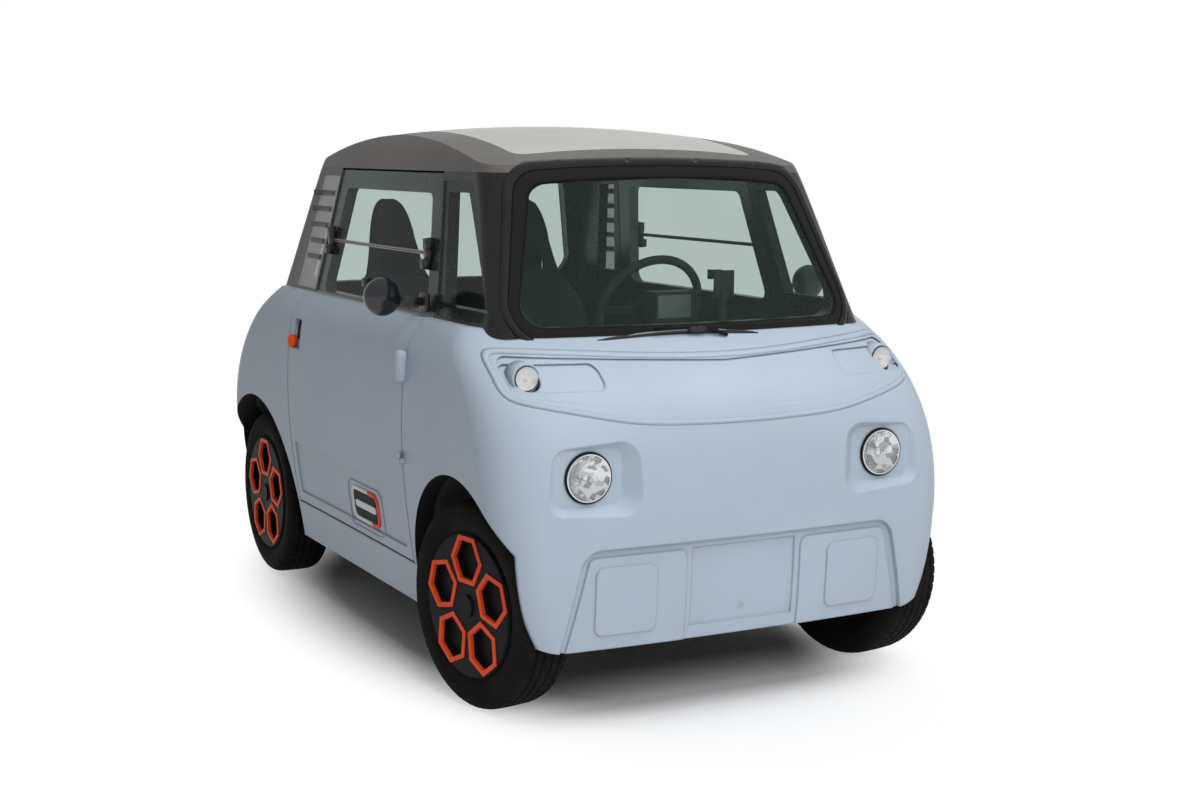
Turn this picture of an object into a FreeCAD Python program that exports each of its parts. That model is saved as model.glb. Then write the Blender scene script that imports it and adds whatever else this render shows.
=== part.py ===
import FreeCAD, Part
import math
import os
import re

import Sketcher
from FreeCAD import Placement, Rotation, Vector

# Two-seat microcar: hollow moulded body, glass house, two doors, four wheels.
# X points forward, Y to the car's left, Z up. The origin is on the ground under
# the middle of the wheelbase, and lengths are in millimetres.

# Driving dimensions

SIZES = [
    ("overall_length", 2410),
    ("body_width", 1350),
    ("roof_top", 1532),
    ("wheelbase", 1728),
    ("track", 1165),
    ("body_bottom", 190),
    ("belt_height", 1000),
    ("body_wall", 42),
    ("body_wall_least", 26),
    ("arch_flare", 20),
    ("nose_corner", 300),
    ("nose_sagitta", 60),
    ("seam_gap", 0.3),
    ("door_gap", 6),
    ("pane_gap", 0.3),
    ("overrun", 20),
    ("glass_house_bottom", 930),
    ("glass_house_length", 1970),
    ("glass_house_width", 1254),
    ("glass_house_wall", 40),
    ("glass_house_corner", 60),
    ("glass_house_sagitta", 68),
    ("glass_house_bulge", 34),
    ("drip_height", 1400),
    ("crown_radius_long", 2730),
    ("crown_radius_wide", 3940),
    ("pane_thickness", 5),
    ("door_width", 1000),
    ("door_bottom", 319),
    ("door_top_width", 824),
    ("door_hinge_place", 503),
    ("door_hinge_spread", 698),
    ("hinge_low_level", 600),
    ("hinge_high_level", 850),
    ("hinge_pin_radius", 4),
    ("hinge_lug_radius", 7),
    ("hinge_lug_height", 16),
    ("hinge_web_reach", 16),
    ("running_clearance", 0.05),
    ("window_border", 62),
    ("window_corner", 28),
    ("hinge_block_depth", 22),
    ("quarter_border", 30),
    ("quarter_bottom", 1008),
    ("quarter_top", 1374),
    ("quarter_door_border", 14),
    ("quarter_front_low", 846),
    ("quarter_front_high", 620),
    ("quarter_rear_low", 700),
    ("quarter_rear_high", 585),
    ("windscreen_border", 46),
    ("windscreen_half_bottom", 560),
    ("windscreen_half_top", 448),
    ("windscreen_bottom", 955),
    ("windscreen_top", 1414),
    ("windscreen_rise", 18),
    ("windscreen_corner", 70),
    ("roof_wall", 28),
    ("roof_glass_half_length", 600),
    ("roof_glass_half_width", 385),
    ("roof_glass_corner", 40),
    ("roof_glass_border", 45),
    ("arch_radius", 345),
    ("turn_clearance", 5.5),
    ("well_inner", 350),
    ("liner_wall", 5),
    ("liner_open_level", 420),
    ("band_half_width", 606),
    ("band_top", 940),
    ("band_top_dip", 22),
    ("band_end_height", 90),
    ("band_mid_height", 137),
    ("band_corner", 30),
    ("band_depth", 9),
    ("lamp_bay_width", 240),
    ("lamp_bay_height", 62),
    ("lamp_bay_depth", 9),
    ("dish_width", 252),
    ("dish_height", 186),
    ("dish_floor_width", 196),
    ("dish_floor_height", 146),
    ("dish_corner", 46),
    ("dish_depth", 24),
    ("headlamp_spread", 450),
    ("headlamp_height", 650),
    ("headlamp_radius", 66),
    ("headlamp_depth", 38),
    ("headlamp_rim", 7),
    ("headlamp_dome", 8),
    ("lens_share", 0.72),
    ("turn_lamp_spread", 552),
    ("turn_lamp_height", 889),
    ("turn_lamp_radius", 31),
    ("turn_lamp_depth", 34),
    ("nose_low_half_width", 715),
    ("nose_low_edge", 203),
    ("nose_low_radius", 220),
    ("bumper_half_top", 470),
    ("bumper_half_bottom", 563),
    ("bumper_top", 467),
    ("bumper_depth", 14),
    ("bumper_corner", 60),
    ("block_inner", 175),
    ("block_edge", 18),
    ("block_top", 446),
    ("block_rise", 5),
    ("plate_half_width", 158),
    ("plate_top", 449),
    ("plate_bottom", 238),
    ("plate_depth", 6),
    ("pad_inner", 262),
    ("pad_outer", 436),
    ("pad_top", 420),
    ("pad_height", 180),
    ("pad_rise", 4),
    ("pad_corner", 24),
    ("floor_level", 240),
    ("floor_thickness", 14),
    ("floor_mid_half_length", 500),
    ("floor_end_half_width", 336),
    ("rail_width", 50),
    ("rail_height", 42),
    ("rail_spread", 305),
    ("cross_member_width", 60),
    ("cross_member_offset", 470),
    ("jack_pad_spread", 450),
    ("jack_pad_length", 50),
    ("jack_pad_width", 80),
    ("jack_pad_height", 8),
    ("tyre_radius", 278.5),
    ("tyre_width", 155),
    ("tyre_tread_width", 118),
    ("tyre_bead_width", 124),
    ("tyre_side_radius", 252),
    ("rim_radius", 178),
    ("rim_wall", 13),
    ("rim_width", 126),
    ("cover_radius", 192.5),
    ("cover_face", 76),
    ("cover_edge_face", 70),
    ("cover_edge_width", 3.5),
    ("cover_thickness", 32),
    ("cover_flange", 4.5),
    ("hub_radius", 50),
    ("hub_inner_face", 12),
    ("hub_cap_radius", 30),
    ("hub_cap_face", 82.5),
    ("hub_cap_wall", 8),
    ("spindle_end_gap", 5),
    ("spindle_radius", 18),
    ("spindle_clearance", 0.05),
    ("pocket_count", 5),
    ("pocket_spread", 123),
    ("pocket_radius", 71),
    ("pocket_ring_width", 10),
    ("pocket_depth", 22),
    ("hexagon_share", 0.8660254),
    ("ring_thickness", 7),
    ("ring_proud", 1.5),
    ("rest_steer_angle", 9.4),
    ("kingpin_offset", 15),
    ("kingpin_radius", 11),
    ("kingpin_clearance", 0.05),
    ("knuckle_height", 180),
    ("knuckle_width", 56),
    ("knuckle_thickness", 34),
    ("arm_eye_radius", 24),
    ("arm_thickness", 18),
    ("arm_width", 40),
    ("strut_offset", 110),
    ("strut_radius", 22),
    ("strut_cup_radius", 44),
    ("strut_cup_height", 48),
    ("lower_eye_level", 169),
    ("upper_eye_level", 376),
    ("subframe_half_length", 60),
    ("subframe_half_width", 270),
    ("shaft_radius", 13),
    ("shaft_end_gap", 38),
    ("steer_rack_radius", 20),
    ("steer_rack_offset", 160),
    ("motor_offset", 30),
    ("motor_length", 300),
    ("motor_width", 340),
    ("motor_height", 220),
    ("battery_length", 400),
    ("battery_width", 600),
    ("battery_height", 145),
    ("battery_place", 220),
    ("rear_arm_spread", 440),
    ("rear_arm_width", 46),
    ("rear_arm_depth", 80),
    ("rear_arm_low", 150),
    ("rear_beam_radius", 20),
    ("rear_beam_level", 171),
    ("rear_beam_place", 754),
    ("dash_front", 975),
    ("dash_rear", 560),
    ("dash_top", 926),
    ("dash_bottom", 760),
    ("dash_lip", 46),
    ("driver_side", 215),
    ("passenger_side", 250),
    ("driver_seat_front", 80),
    ("passenger_seat_front", -10),
    ("seat_width", 430),
    ("seat_length", 440),
    ("seat_height", 500),
    ("seat_cushion_thickness", 80),
    ("seat_back_thickness", 80),
    ("seat_back_height", 490),
    ("seat_back_lean", 115),
    ("headrest_lean", 75),
    ("headrest_bottom_width", 300),
    ("headrest_top_width", 170),
    ("headrest_height", 305),
    ("seat_base_front", 10),
    ("seat_base_rear", 455),
    ("seat_base_half_width", 480),
    ("steering_wheel_radius", 168),
    ("steering_rim_radius", 14),
    ("steering_wheel_place", 285),
    ("steering_wheel_level", 982),
    ("steering_tilt", 25),
    ("steering_hub_radius", 52),
    ("steering_hub_depth", 40),
    ("spoke_width", 34),
    ("spoke_thickness", 14),
    ("column_radius", 30),
    ("column_length", 330),
    ("column_gap", 6),
    ("steering_shaft_radius", 12),
    ("steering_shaft_end", 8),
    ("pod_width", 150),
    ("pod_height", 96),
    ("pod_depth", 70),
    ("pod_place", 420),
    ("pod_bottom", 948),
    ("mirror_radius", 54),
    ("mirror_reach", 88),
    ("mirror_level", 1057),
    ("mirror_place", 424),
    ("mirror_foot_place", 452),
    ("mirror_foot_level", 1040),
    ("mirror_foot_size", 56),
    ("mirror_foot_depth", 16),
    ("mirror_arm_radius", 8),
    ("handle_level", 872),
    ("handle_length", 70),
    ("handle_height", 96),
    ("handle_inset", 34),
    ("handle_depth", 14),
    ("handle_corner", 12),
    ("lower_recess_depth", 5),
    ("lower_recess_bottom", 352),
    ("lower_recess_top", 520),
    ("wiper_pivot_side", 60),
    ("wiper_pivot_radius", 16),
    ("wiper_arm_width", 12),
    ("wiper_blade_half", 250),
    ("wiper_blade_centre", 80),
    ("wiper_blade_height", 14),
    ("wiper_rise", 20),
    ("wiper_clearance", 3),
]

doc = FreeCAD.newDocument("Microcar")
sheet = doc.addObject("Spreadsheet::Sheet", "Sizes")
for row, (name, value) in enumerate(SIZES, start=1):
    sheet.set(f"A{row}", name)
    sheet.set(f"B{row}", str(value))
    sheet.setAlias(f"B{row}", name)
doc.recompute()


class SheetSizes:
    """Reads a size from the sheet by its alias."""

    def __getattr__(self, alias):
        return float(sheet.get(alias))


S = SheetSizes()

half_length = S.overall_length / 2
half_width = S.body_width / 2
hub_x = S.wheelbase / 2
hub_y = S.track / 2
hub_z = S.tyre_radius
kingpin_y = hub_y - S.kingpin_offset
FRONT = 1
REAR = -1
LEFT = 1
RIGHT = -1

nodes = {}


def keep(label, shape):
    """Adds a solid or a set of like solids as one named sub-part."""
    feature = doc.addObject("Part::Feature", label)
    feature.Label = label
    feature.Shape = shape
    nodes[label] = feature
    return feature


def keep_object(label, feature):
    """Names a parametric object as one sub-part."""
    feature.Label = label
    nodes[label] = feature
    return feature


# Outline helpers

def rounded_wire(corners, radius):
    """A closed wire through the corners, each rounded by an arc."""
    edges = []
    count = len(corners)
    starts = []
    ends = []
    middles = []
    for i, corner in enumerate(corners):
        before = (corners[i - 1] - corner).normalize()
        after = (corners[(i + 1) % count] - corner).normalize()
        half_angle = before.getAngle(after) / 2
        reach = radius / math.tan(half_angle)
        bisector = (before + after).normalize()
        centre = corner + bisector * (radius / math.sin(half_angle))
        starts.append(corner + before * reach)
        ends.append(corner + after * reach)
        middles.append(centre - bisector * radius)
    for i in range(count):
        edges.append(Part.Arc(starts[i], middles[i], ends[i]).toShape())
        edges.append(Part.makeLine(ends[i], starts[(i + 1) % count]))
    return Part.Wire(edges)


def prism(corners, direction, radius=0):
    """A straight prism over a polygon, its corners rounded where asked."""
    if radius:
        wire = rounded_wire(corners, radius)
    else:
        wire = Part.makePolygon(corners + corners[:1])
    return Part.Face(wire).extrude(direction)


def box(low, high):
    """A block between two opposite corners."""
    size = high - low
    return Part.makeBox(size.x, size.y, size.z, low)


def mirror_y(shape):
    return shape.mirror(Vector(), Vector(0, 1, 0))


def mirror_x(shape):
    return shape.mirror(Vector(), Vector(1, 0, 0))


def half_turn(shape):
    """The same shape turned half round about the vertical axis."""
    turned = shape.copy()
    turned.rotate(Vector(), Vector(0, 0, 1), 180)
    return turned


# Bound sub-parts
# Their sums are written with the sheet's aliases.

HUB_X = "(wheelbase / 2)"
HUB_Y = "(track / 2)"
HUB_Z = "tyre_radius"
KINGPIN_Y = "(track / 2 - kingpin_offset)"
ACROSS = Vector(0, 1, 0)
ALONG = Vector(1, 0, 0)
UP = Vector(0, 0, 1)


def bound(text):
    """A sum with each size named as its cell of the sheet."""
    return re.sub(r"[a-z][a-z_]*", lambda found: "Sizes." + found.group(), text)


def put(shape, at):
    """Binds the place of a primitive."""
    for axis, text in zip("xyz", at):
        shape.setExpression("Placement.Base." + axis, bound(text))


def block(name, low, high):
    """A block between two corners."""
    shape = doc.addObject("Part::Box", name)
    for side, start, end in zip(("Length", "Width", "Height"), low, high):
        shape.setExpression(side, bound(f"({end}) - ({start})"))
    put(shape, low)
    return shape


def rod(name, radius, length, start, along):
    """A round rod from its start along one axis."""
    shape = doc.addObject("Part::Cylinder", name)
    shape.setExpression("Radius", bound(radius))
    shape.setExpression("Height", bound(length))
    shape.Placement = Placement(Vector(), Rotation(UP, along))
    put(shape, start)
    return shape


def joined(name, shapes):
    fuse = doc.addObject("Part::MultiFuse", name)
    fuse.Shapes = shapes
    return fuse


def less(name, base, tool):
    cut = doc.addObject("Part::Cut", name)
    cut.Base = base
    cut.Tool = tool
    return cut


def shared(name, base, tool):
    common = doc.addObject("Part::Common", name)
    common.Base = base
    common.Tool = tool
    return common


def outline_sketch(body, name, role, corners, offset="0"):
    """A closed outline on an origin plane, each corner held by two bound distances."""
    plane = [feature for feature in body.Origin.OriginFeatures if feature.Role == role][0]
    sketch = body.newObject("Sketcher::SketchObject", name)
    sketch.AttachmentSupport = [(plane, "")]
    sketch.MapMode = "FlatFace"
    places = [Vector(sheet.evalExpression(bound(x)), sheet.evalExpression(bound(y)), 0) for x, y in corners]
    count = len(places)
    for i in range(count):
        sketch.addGeometry(Part.LineSegment(places[i], places[(i + 1) % count]), False)
    for i in range(count):
        sketch.addConstraint(Sketcher.Constraint("Coincident", i, 2, (i + 1) % count, 1))
    for i, (x, y) in enumerate(corners):
        for kind, text, value in (("DistanceX", x, places[i].x), ("DistanceY", y, places[i].y)):
            index = sketch.addConstraint(Sketcher.Constraint(kind, -1, 1, i, 1, value))
            sketch.setExpression(f"Constraints[{index}]", bound(text))
    if offset != "0":
        sketch.setExpression("AttachmentOffset.Base.z", bound(offset))
    return sketch


def turned_body(name, corners):
    """A body turned about its own Y axis from an outline of (radius, Y)."""
    body = doc.addObject("PartDesign::Body", name)
    sketch = outline_sketch(body, name + "_outline", "XY_Plane", corners)
    turn = body.newObject("PartDesign::Revolution", name + "_turn")
    turn.Profile = sketch
    turn.ReferenceAxis = (sketch, ["V_Axis"])
    turn.Angle = 360
    body.Tip = turn
    return body


def padded_body(name, role, corners, length, offset="0"):
    """A body padded from an outline."""
    body = doc.addObject("PartDesign::Body", name)
    sketch = outline_sketch(body, name + "_outline", role, corners, offset)
    pad = body.newObject("PartDesign::Pad", name + "_pad")
    pad.Profile = sketch
    pad.setExpression("Length", bound(length))
    body.Tip = pad
    return body


# Body sections
# The forms are smooth skins over horizontal rows of poles. Each row: height
# share of the body, then shares of half length, half width, nose corner radius,
# nose sagitta and arch flare.

body_row_shares = [
    (0.00, 0.985, 0.930, 0.33, 0.33, 0.20),
    (0.16, 1.001, 0.958, 0.33, 0.33, 1.00),
    (0.52, 1.001, 1.010, 0.36, 0.33, 1.40),
    (0.84, 1.003, 1.006, 0.85, 0.85, 0.10),
    (0.94, 0.842, 0.990, 0.65, 0.95, 0.00),
    (1.00, 0.762, 0.915, 0.36, 1.10, 0.00),
]

# Each row: height share from the glass house's bottom to the roof's top, then
# shares of half length, half width, corner radius, sagitta and side bulge.

glass_row_shares = [
    (0.00, 1.000, 1.000, 1.00, 1.00, 1.0),
    (0.36, 0.890, 0.938, 1.00, 0.95, 1.0),
    (0.80, 0.765, 0.868, 1.00, 0.85, 1.0),
    (0.93, 0.716, 0.842, 1.60, 0.85, 0.8),
    (1.04, 0.500, 0.720, 2.60, 0.60, 0.6),
]

arc_handle_share = 0.5523
hollow_corner_share = 0.8
side_station_shares = (1.0, 0.8, 0.45, -0.45, -0.8, -1.0)
side_flare_shares = (1.0, 1.0, 0.0, 0.0, 1.0, 1.0)


def quarter_poles(level, reach, wide, corner, sagitta, flare, bulge):
    """Poles of half a nose and of its left corner, from the middle outwards."""
    end_y = wide + flare - bulge - corner
    end_x = reach - sagitta
    side_x = end_x - corner
    handle = corner * arc_handle_share
    nose_slope = Vector(-2 * sagitta, end_y, 0).normalize()
    finish = Vector(end_x, end_y, level)
    start = Vector(side_x, wide + flare - bulge, level)
    nose = [
        Vector(reach, 0, level),
        Vector(reach, end_y / 3, level),
        finish - nose_slope * (end_y / 3),
        finish,
    ]
    rounded = [finish, finish + nose_slope * handle, start + Vector(handle, 0, 0), start]
    return nose, rounded


def side_poles(level, reach, wide, corner, sagitta, flare, bulge):
    """Poles of the left side, from the front corner to the rear one."""
    side_x = reach - sagitta - corner
    poles = []
    for station, flared in zip(side_station_shares, side_flare_shares):
        y = wide + flare * flared - bulge * (station if station > 0 else -station)
        poles.append(Vector(side_x * station, y, level))
    poles[1].y = poles[0].y
    poles[-2].y = poles[-1].y
    return poles


def skin_patch(pole_rows):
    """A smooth face over rows of poles, one span across and few spans up."""
    rows = len(pole_rows)
    across = len(pole_rows[0])
    degree = 3
    inner_knots = rows - degree - 1
    knots = [step / (inner_knots + 1) for step in range(inner_knots + 2)]
    mults = [degree + 1] + [1] * inner_knots + [degree + 1]
    columns = [[row[i] for row in pole_rows] for i in range(across)]
    surface = Part.BSplineSurface()
    surface.buildFromPolesMultsKnots(
        columns, [across, across], mults, [0, 1], knots, False, False, across - 1, degree
    )
    return surface.toShape()


def skinned_form(rows):
    """A closed solid over all rows: nose, corners and sides, mirrored twice."""
    nose_rows = []
    corner_rows = []
    side_rows = []
    for row in rows:
        nose, rounded = quarter_poles(*row)
        nose_rows.append(nose)
        corner_rows.append(rounded)
        side_rows.append(side_poles(*row))
    quarter = [skin_patch(nose_rows), skin_patch(corner_rows)]
    half = quarter + [mirror_x(face) for face in quarter] + [skin_patch(side_rows)]
    walls = half + [mirror_y(face) for face in half]
    ends = []
    for level in (rows[0][0], rows[-1][0]):
        rim = []
        for wall in walls:
            for edge in wall.Edges:
                flat = edge.BoundBox.ZMax - edge.BoundBox.ZMin < S.seam_gap
                if flat and abs(edge.BoundBox.ZMin - level) < S.seam_gap:
                    rim.append(edge)
        ends.append(Part.Face(Part.Wire(Part.__sortEdges__(rim))))
    closed = Part.makeCompound(walls + ends)
    closed.sewShape()
    solid = Part.Solid(closed.Shells[0])
    if solid.Volume < 0:
        solid.reverse()
    return solid


def body_form(inset):
    """The body's outer form, or the same form set in on all sides."""
    rows = []
    height = S.belt_height - S.body_bottom
    for level, reach, wide, corner, sagitta, flare in body_row_shares:
        rows.append((
            S.body_bottom + level * height,
            reach * half_length - inset,
            wide * half_width - inset,
            max(corner * S.nose_corner - inset, S.pane_thickness),
            sagitta * S.nose_sagitta,
            flare * S.arch_flare,
            0,
        ))
    return skinned_form(rows)


def taller_body_form(inset):
    """The set-in form carried past the body's bottom and top."""
    form = body_form(inset)
    deep = form.Faces[-2].extrude(UP * -S.overrun)
    tall = form.Faces[-1].extrude(UP * S.overrun)
    return form.fuse(deep).fuse(tall)


def inner_form(outer, levels, wall, corner_share):
    """The hollow behind a form's wall: rounded outlines probed from the form."""
    wires = []
    for order, level in enumerate(levels):
        beyond = 0
        if order == 0:
            beyond = -S.overrun
        if order == len(levels) - 1:
            beyond = S.overrun
        place = level + beyond
        reach = probe_x(outer, half_width / 2, level) - wall
        wide = probe_y(outer, level) - wall
        diagonal = probe_x(outer, wide * corner_share, level) - wall
        corner = max(wide * (1 - corner_share) + reach - diagonal, wall)
        corners = [
            Vector(reach, -wide, place),
            Vector(reach, wide, place),
            Vector(-reach, wide, place),
            Vector(-reach, -wide, place),
        ]
        wires.append(rounded_wire(corners, corner))
    return Part.makeLoft(wires, True, True)


def probe_x(form, y, z):
    """How far forward a form reaches at one place."""
    probe = Part.makeLine(Vector(0, y, z), Vector(half_length + S.overrun, y, z))
    return probe.common(form).BoundBox.XMax


def probe_y(form, z):
    """How far a form reaches to the side over the car's middle."""
    probe = Part.makeLine(Vector(0, 0, z), Vector(0, half_width + S.overrun, z))
    return probe.common(form).BoundBox.YMax


def crown(drop):
    """The space under the roof's crown, which bends both ways."""
    top = S.roof_top - drop
    side = half_width
    long_radius = S.crown_radius_long - drop
    wide_radius = S.crown_radius_wide - drop
    sag = wide_radius - math.sqrt(wide_radius ** 2 - side ** 2)
    bottom = S.glass_house_bottom
    arc = Part.Arc(Vector(0, -side, top - sag), Vector(0, 0, top), Vector(0, side, top - sag)).toShape()
    face = Part.Face(Part.Wire([
        arc,
        Part.makeLine(Vector(0, side, top - sag), Vector(0, side, bottom)),
        Part.makeLine(Vector(0, side, bottom), Vector(0, -side, bottom)),
        Part.makeLine(Vector(0, -side, bottom), Vector(0, -side, top - sag)),
    ]))
    sweep = 2 * math.degrees(math.asin(half_length / long_radius))
    centre = Vector(0, 0, top - long_radius)
    face.rotate(centre, Vector(0, 1, 0), -sweep / 2)
    return face.revolve(centre, Vector(0, 1, 0), sweep)


def glass_house_form(inset):
    """The glass house with its crowned roof, or the same form set in."""
    rows = []
    height = S.roof_top - S.glass_house_bottom
    for level, reach, wide, corner, sagitta, bulge in glass_row_shares:
        rows.append((
            S.glass_house_bottom + level * height,
            reach * S.glass_house_length / 2 - inset,
            wide * S.glass_house_width / 2 - inset,
            max(corner * S.glass_house_corner - inset, S.pane_thickness),
            sagitta * S.glass_house_sagitta,
            0,
            bulge * S.glass_house_bulge,
        ))
    return skinned_form(rows).common(crown(inset))


body_height = S.belt_height - S.body_bottom
body_outer = body_form(0)
body_core = taller_body_form(S.body_wall_least)
hollow_level_shares = (0.001, 0.15, 0.55, 0.78, 0.90, 0.999)
body_inner = inner_form(
    body_outer,
    [S.body_bottom + share * body_height for share in hollow_level_shares],
    S.body_wall,
    hollow_corner_share,
).common(body_core)
glass_outer = glass_house_form(0)
glass_inner = glass_house_form(S.glass_house_wall)
glass_under = glass_house_form(S.pane_thickness)
glass_under_gap = glass_house_form(S.pane_thickness + S.pane_gap)
glass_around = glass_house_form(-S.seam_gap)
body_shell = body_outer.cut(body_inner).cut(glass_around)
glass_shell = glass_outer.cut(glass_inner)
pane_layer = glass_outer.cut(glass_under)
pane_space = glass_house_form(-S.overrun).cut(glass_under_gap)


def front_prism(outline, radius=0):
    """A prism along X over the front half from corners given as (y, z)."""
    corners = [Vector(0, y, z) for y, z in outline]
    return prism(corners, Vector(half_length + S.overrun, 0, 0), radius)


def side_prism(outline, side, radius=0):
    """A prism across one side of the car from corners given as (x, z)."""
    corners = [Vector(x, side * S.well_inner, z) for x, z in outline]
    return prism(corners, Vector(0, side * (half_width + S.overrun - S.well_inner), 0), radius)


def rectangle(middle_y, middle_z, width, height):
    """The corners of an upright rectangle."""
    return [
        (middle_y - width / 2, middle_z - height / 2),
        (middle_y + width / 2, middle_z - height / 2),
        (middle_y + width / 2, middle_z + height / 2),
        (middle_y - width / 2, middle_z + height / 2),
    ]


# Openings for doors and wheels
# A door's opening edge follows an arc about its hinge, so it swings clear.

def door_outline(grow):
    """The right door's outline seen from the side, run over its opening edge."""
    low = S.door_width / 2 + grow
    high = S.door_top_width / 2 + grow
    top = S.drip_height - S.door_gap + grow
    return [
        (-low - S.overrun, S.door_bottom - grow),
        (low, S.door_bottom - grow),
        (low, S.belt_height),
        (high, top),
        (-high - S.overrun * 2, top),
        (-low - S.overrun, S.belt_height),
    ]


def swing_form(grow):
    """The round about the right door's hinge that its opening edge follows."""
    low_radius = S.door_width / 2 + S.door_hinge_place + grow
    high_radius = S.door_top_width / 2 + S.door_hinge_place + S.hinge_block_depth / 2 + grow
    bottom = S.door_bottom - S.overrun
    top = S.drip_height + grow
    upright = Part.makeCylinder(low_radius, S.belt_height - bottom, Vector(0, 0, bottom))
    leaning = Part.makeCone(low_radius, high_radius, top - S.belt_height, Vector(0, 0, S.belt_height))
    form = upright.fuse(leaning)
    form.translate(Vector(S.door_hinge_place, -S.door_hinge_spread, 0))
    return form


def door_form(grow):
    """The room of the right door through the whole side of the car."""
    return side_prism(door_outline(grow), RIGHT).common(swing_form(grow))


def wheel_space(side):
    """The room for a front wheel: the arch in the skin and the well behind it."""
    reach = half_width + S.arch_flare + S.overrun
    arch_depth = reach - S.well_inner
    low_y = min(side * S.well_inner, side * reach)
    cylinder = Part.makeCylinder(S.arch_radius, arch_depth, Vector(hub_x, low_y, hub_z), Vector(0, 1, 0))
    skin_y = hub_y + S.tyre_width / 4
    skin_low = min(side * skin_y, side * reach)
    well_low = min(side * S.well_inner, side * skin_y)
    bottom = hub_z - S.arch_radius
    top = hub_z + S.arch_radius
    rear = hub_x - S.arch_radius
    corner_y = S.tyre_tread_width / 2 + S.kingpin_offset
    turn_radius = math.hypot(S.tyre_radius, corner_y) + S.turn_clearance
    nose_limit = hub_x + math.sqrt(turn_radius ** 2 - (skin_y - kingpin_y) ** 2)
    opening = box(Vector(rear, skin_low, bottom), Vector(nose_limit, skin_low + reach - skin_y, top))
    well = box(Vector(rear, well_low, bottom), Vector(half_length, well_low + skin_y - S.well_inner, top))
    ahead = box(Vector(hub_x, well_low - reach, bottom), Vector(half_length, well_low + reach, top))
    turn = Part.makeCylinder(turn_radius, top - bottom, Vector(hub_x, side * kingpin_y, bottom))
    return cylinder.common(opening.fuse(well.cut(ahead.cut(turn))))


door_rooms = [door_form(0)]
door_openings = [door_form(S.door_gap)]
for forms in (door_rooms, door_openings):
    forms.append(half_turn(forms[0]))
front_wheel_spaces = [wheel_space(side) for side in (LEFT, RIGHT)]
sill_half_length = hub_x - S.arch_radius + S.overrun
sill_top = S.door_bottom - S.door_gap
sill_box = box(
    Vector(-sill_half_length, -S.body_width, S.body_bottom - S.overrun),
    Vector(sill_half_length, S.body_width, sill_top),
)
front_box = box(
    Vector(0, -S.body_width, S.body_bottom - S.overrun),
    Vector(S.overall_length, S.body_width, S.belt_height + S.overrun),
)

# Nose and tail panels, which are the same moulding turned half round

panel = body_shell.common(front_box).cut(sill_box)
for opening in door_openings + front_wheel_spaces:
    panel = panel.cut(opening)
nose_face = rectangle(0, S.nose_low_edge + half_width, S.nose_low_half_width * 2, half_width * 2)
low_nose = box(Vector(hub_x, -S.body_width, 0), Vector(S.overall_length, S.body_width, half_width))
panel = panel.cut(low_nose.cut(front_prism(nose_face, S.nose_low_radius)))

band_outline = [
    (0, S.band_top - S.band_top_dip),
    (-S.band_half_width, S.band_top),
    (-S.band_half_width, S.band_top - S.band_end_height),
    (-S.band_half_width / 2, S.band_top - S.band_mid_height + S.band_depth),
    (0, S.band_top - S.band_mid_height),
    (S.band_half_width / 2, S.band_top - S.band_mid_height + S.band_depth),
    (S.band_half_width, S.band_top - S.band_end_height),
    (S.band_half_width, S.band_top),
]
bumper_low = S.body_bottom - S.bumper_corner * 2
bumper_outline = [
    (-S.bumper_half_bottom, bumper_low),
    (S.bumper_half_bottom, bumper_low),
    (S.bumper_half_top, S.bumper_top),
    (-S.bumper_half_top, S.bumper_top),
]
plate_outline = [
    (-S.plate_half_width, S.plate_bottom),
    (S.plate_half_width, S.plate_bottom),
    (S.plate_half_width, S.plate_top),
    (-S.plate_half_width, S.plate_top),
]
pad_middle = (S.pad_inner + S.pad_outer) / 2
pad_width = S.pad_outer - S.pad_inner
pads = [
    front_prism(rectangle(side * pad_middle, S.pad_top - S.pad_height / 2, pad_width, S.pad_height), S.pad_corner)
    for side in (LEFT, RIGHT)
]
plate_field = front_prism(plate_outline)
blocks = []
for side in (LEFT, RIGHT):
    block_outline = [
        (side * S.block_inner, bumper_low),
        (side * (S.bumper_half_bottom - S.block_edge), bumper_low),
        (side * (S.bumper_half_top - S.block_edge), S.block_top),
        (side * S.block_inner, S.block_top),
    ]
    blocks.append(front_prism(block_outline, S.pad_corner))

band_under = body_form(S.band_depth)
bay_under = body_form(S.band_depth + S.lamp_bay_depth)
bumper_under = body_form(S.bumper_depth)
plate_under = body_form(S.bumper_depth + S.plate_depth)
block_under = body_form(S.bumper_depth - S.block_rise)
pad_under = body_form(S.bumper_depth - S.block_rise - S.pad_rise)

panel = panel.cut(front_prism(band_outline, S.band_corner).cut(band_under))
bumper_tool = front_prism(bumper_outline, S.bumper_corner).cut(plate_field)
for face, pad in zip(blocks, pads):
    bumper_tool = bumper_tool.cut(face)
    panel = panel.cut(face.cut(pad).cut(block_under))
    panel = panel.cut(pad.cut(pad_under))
panel = panel.cut(bumper_tool.cut(bumper_under))
panel = panel.cut(plate_field.cut(plate_under))

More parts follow.
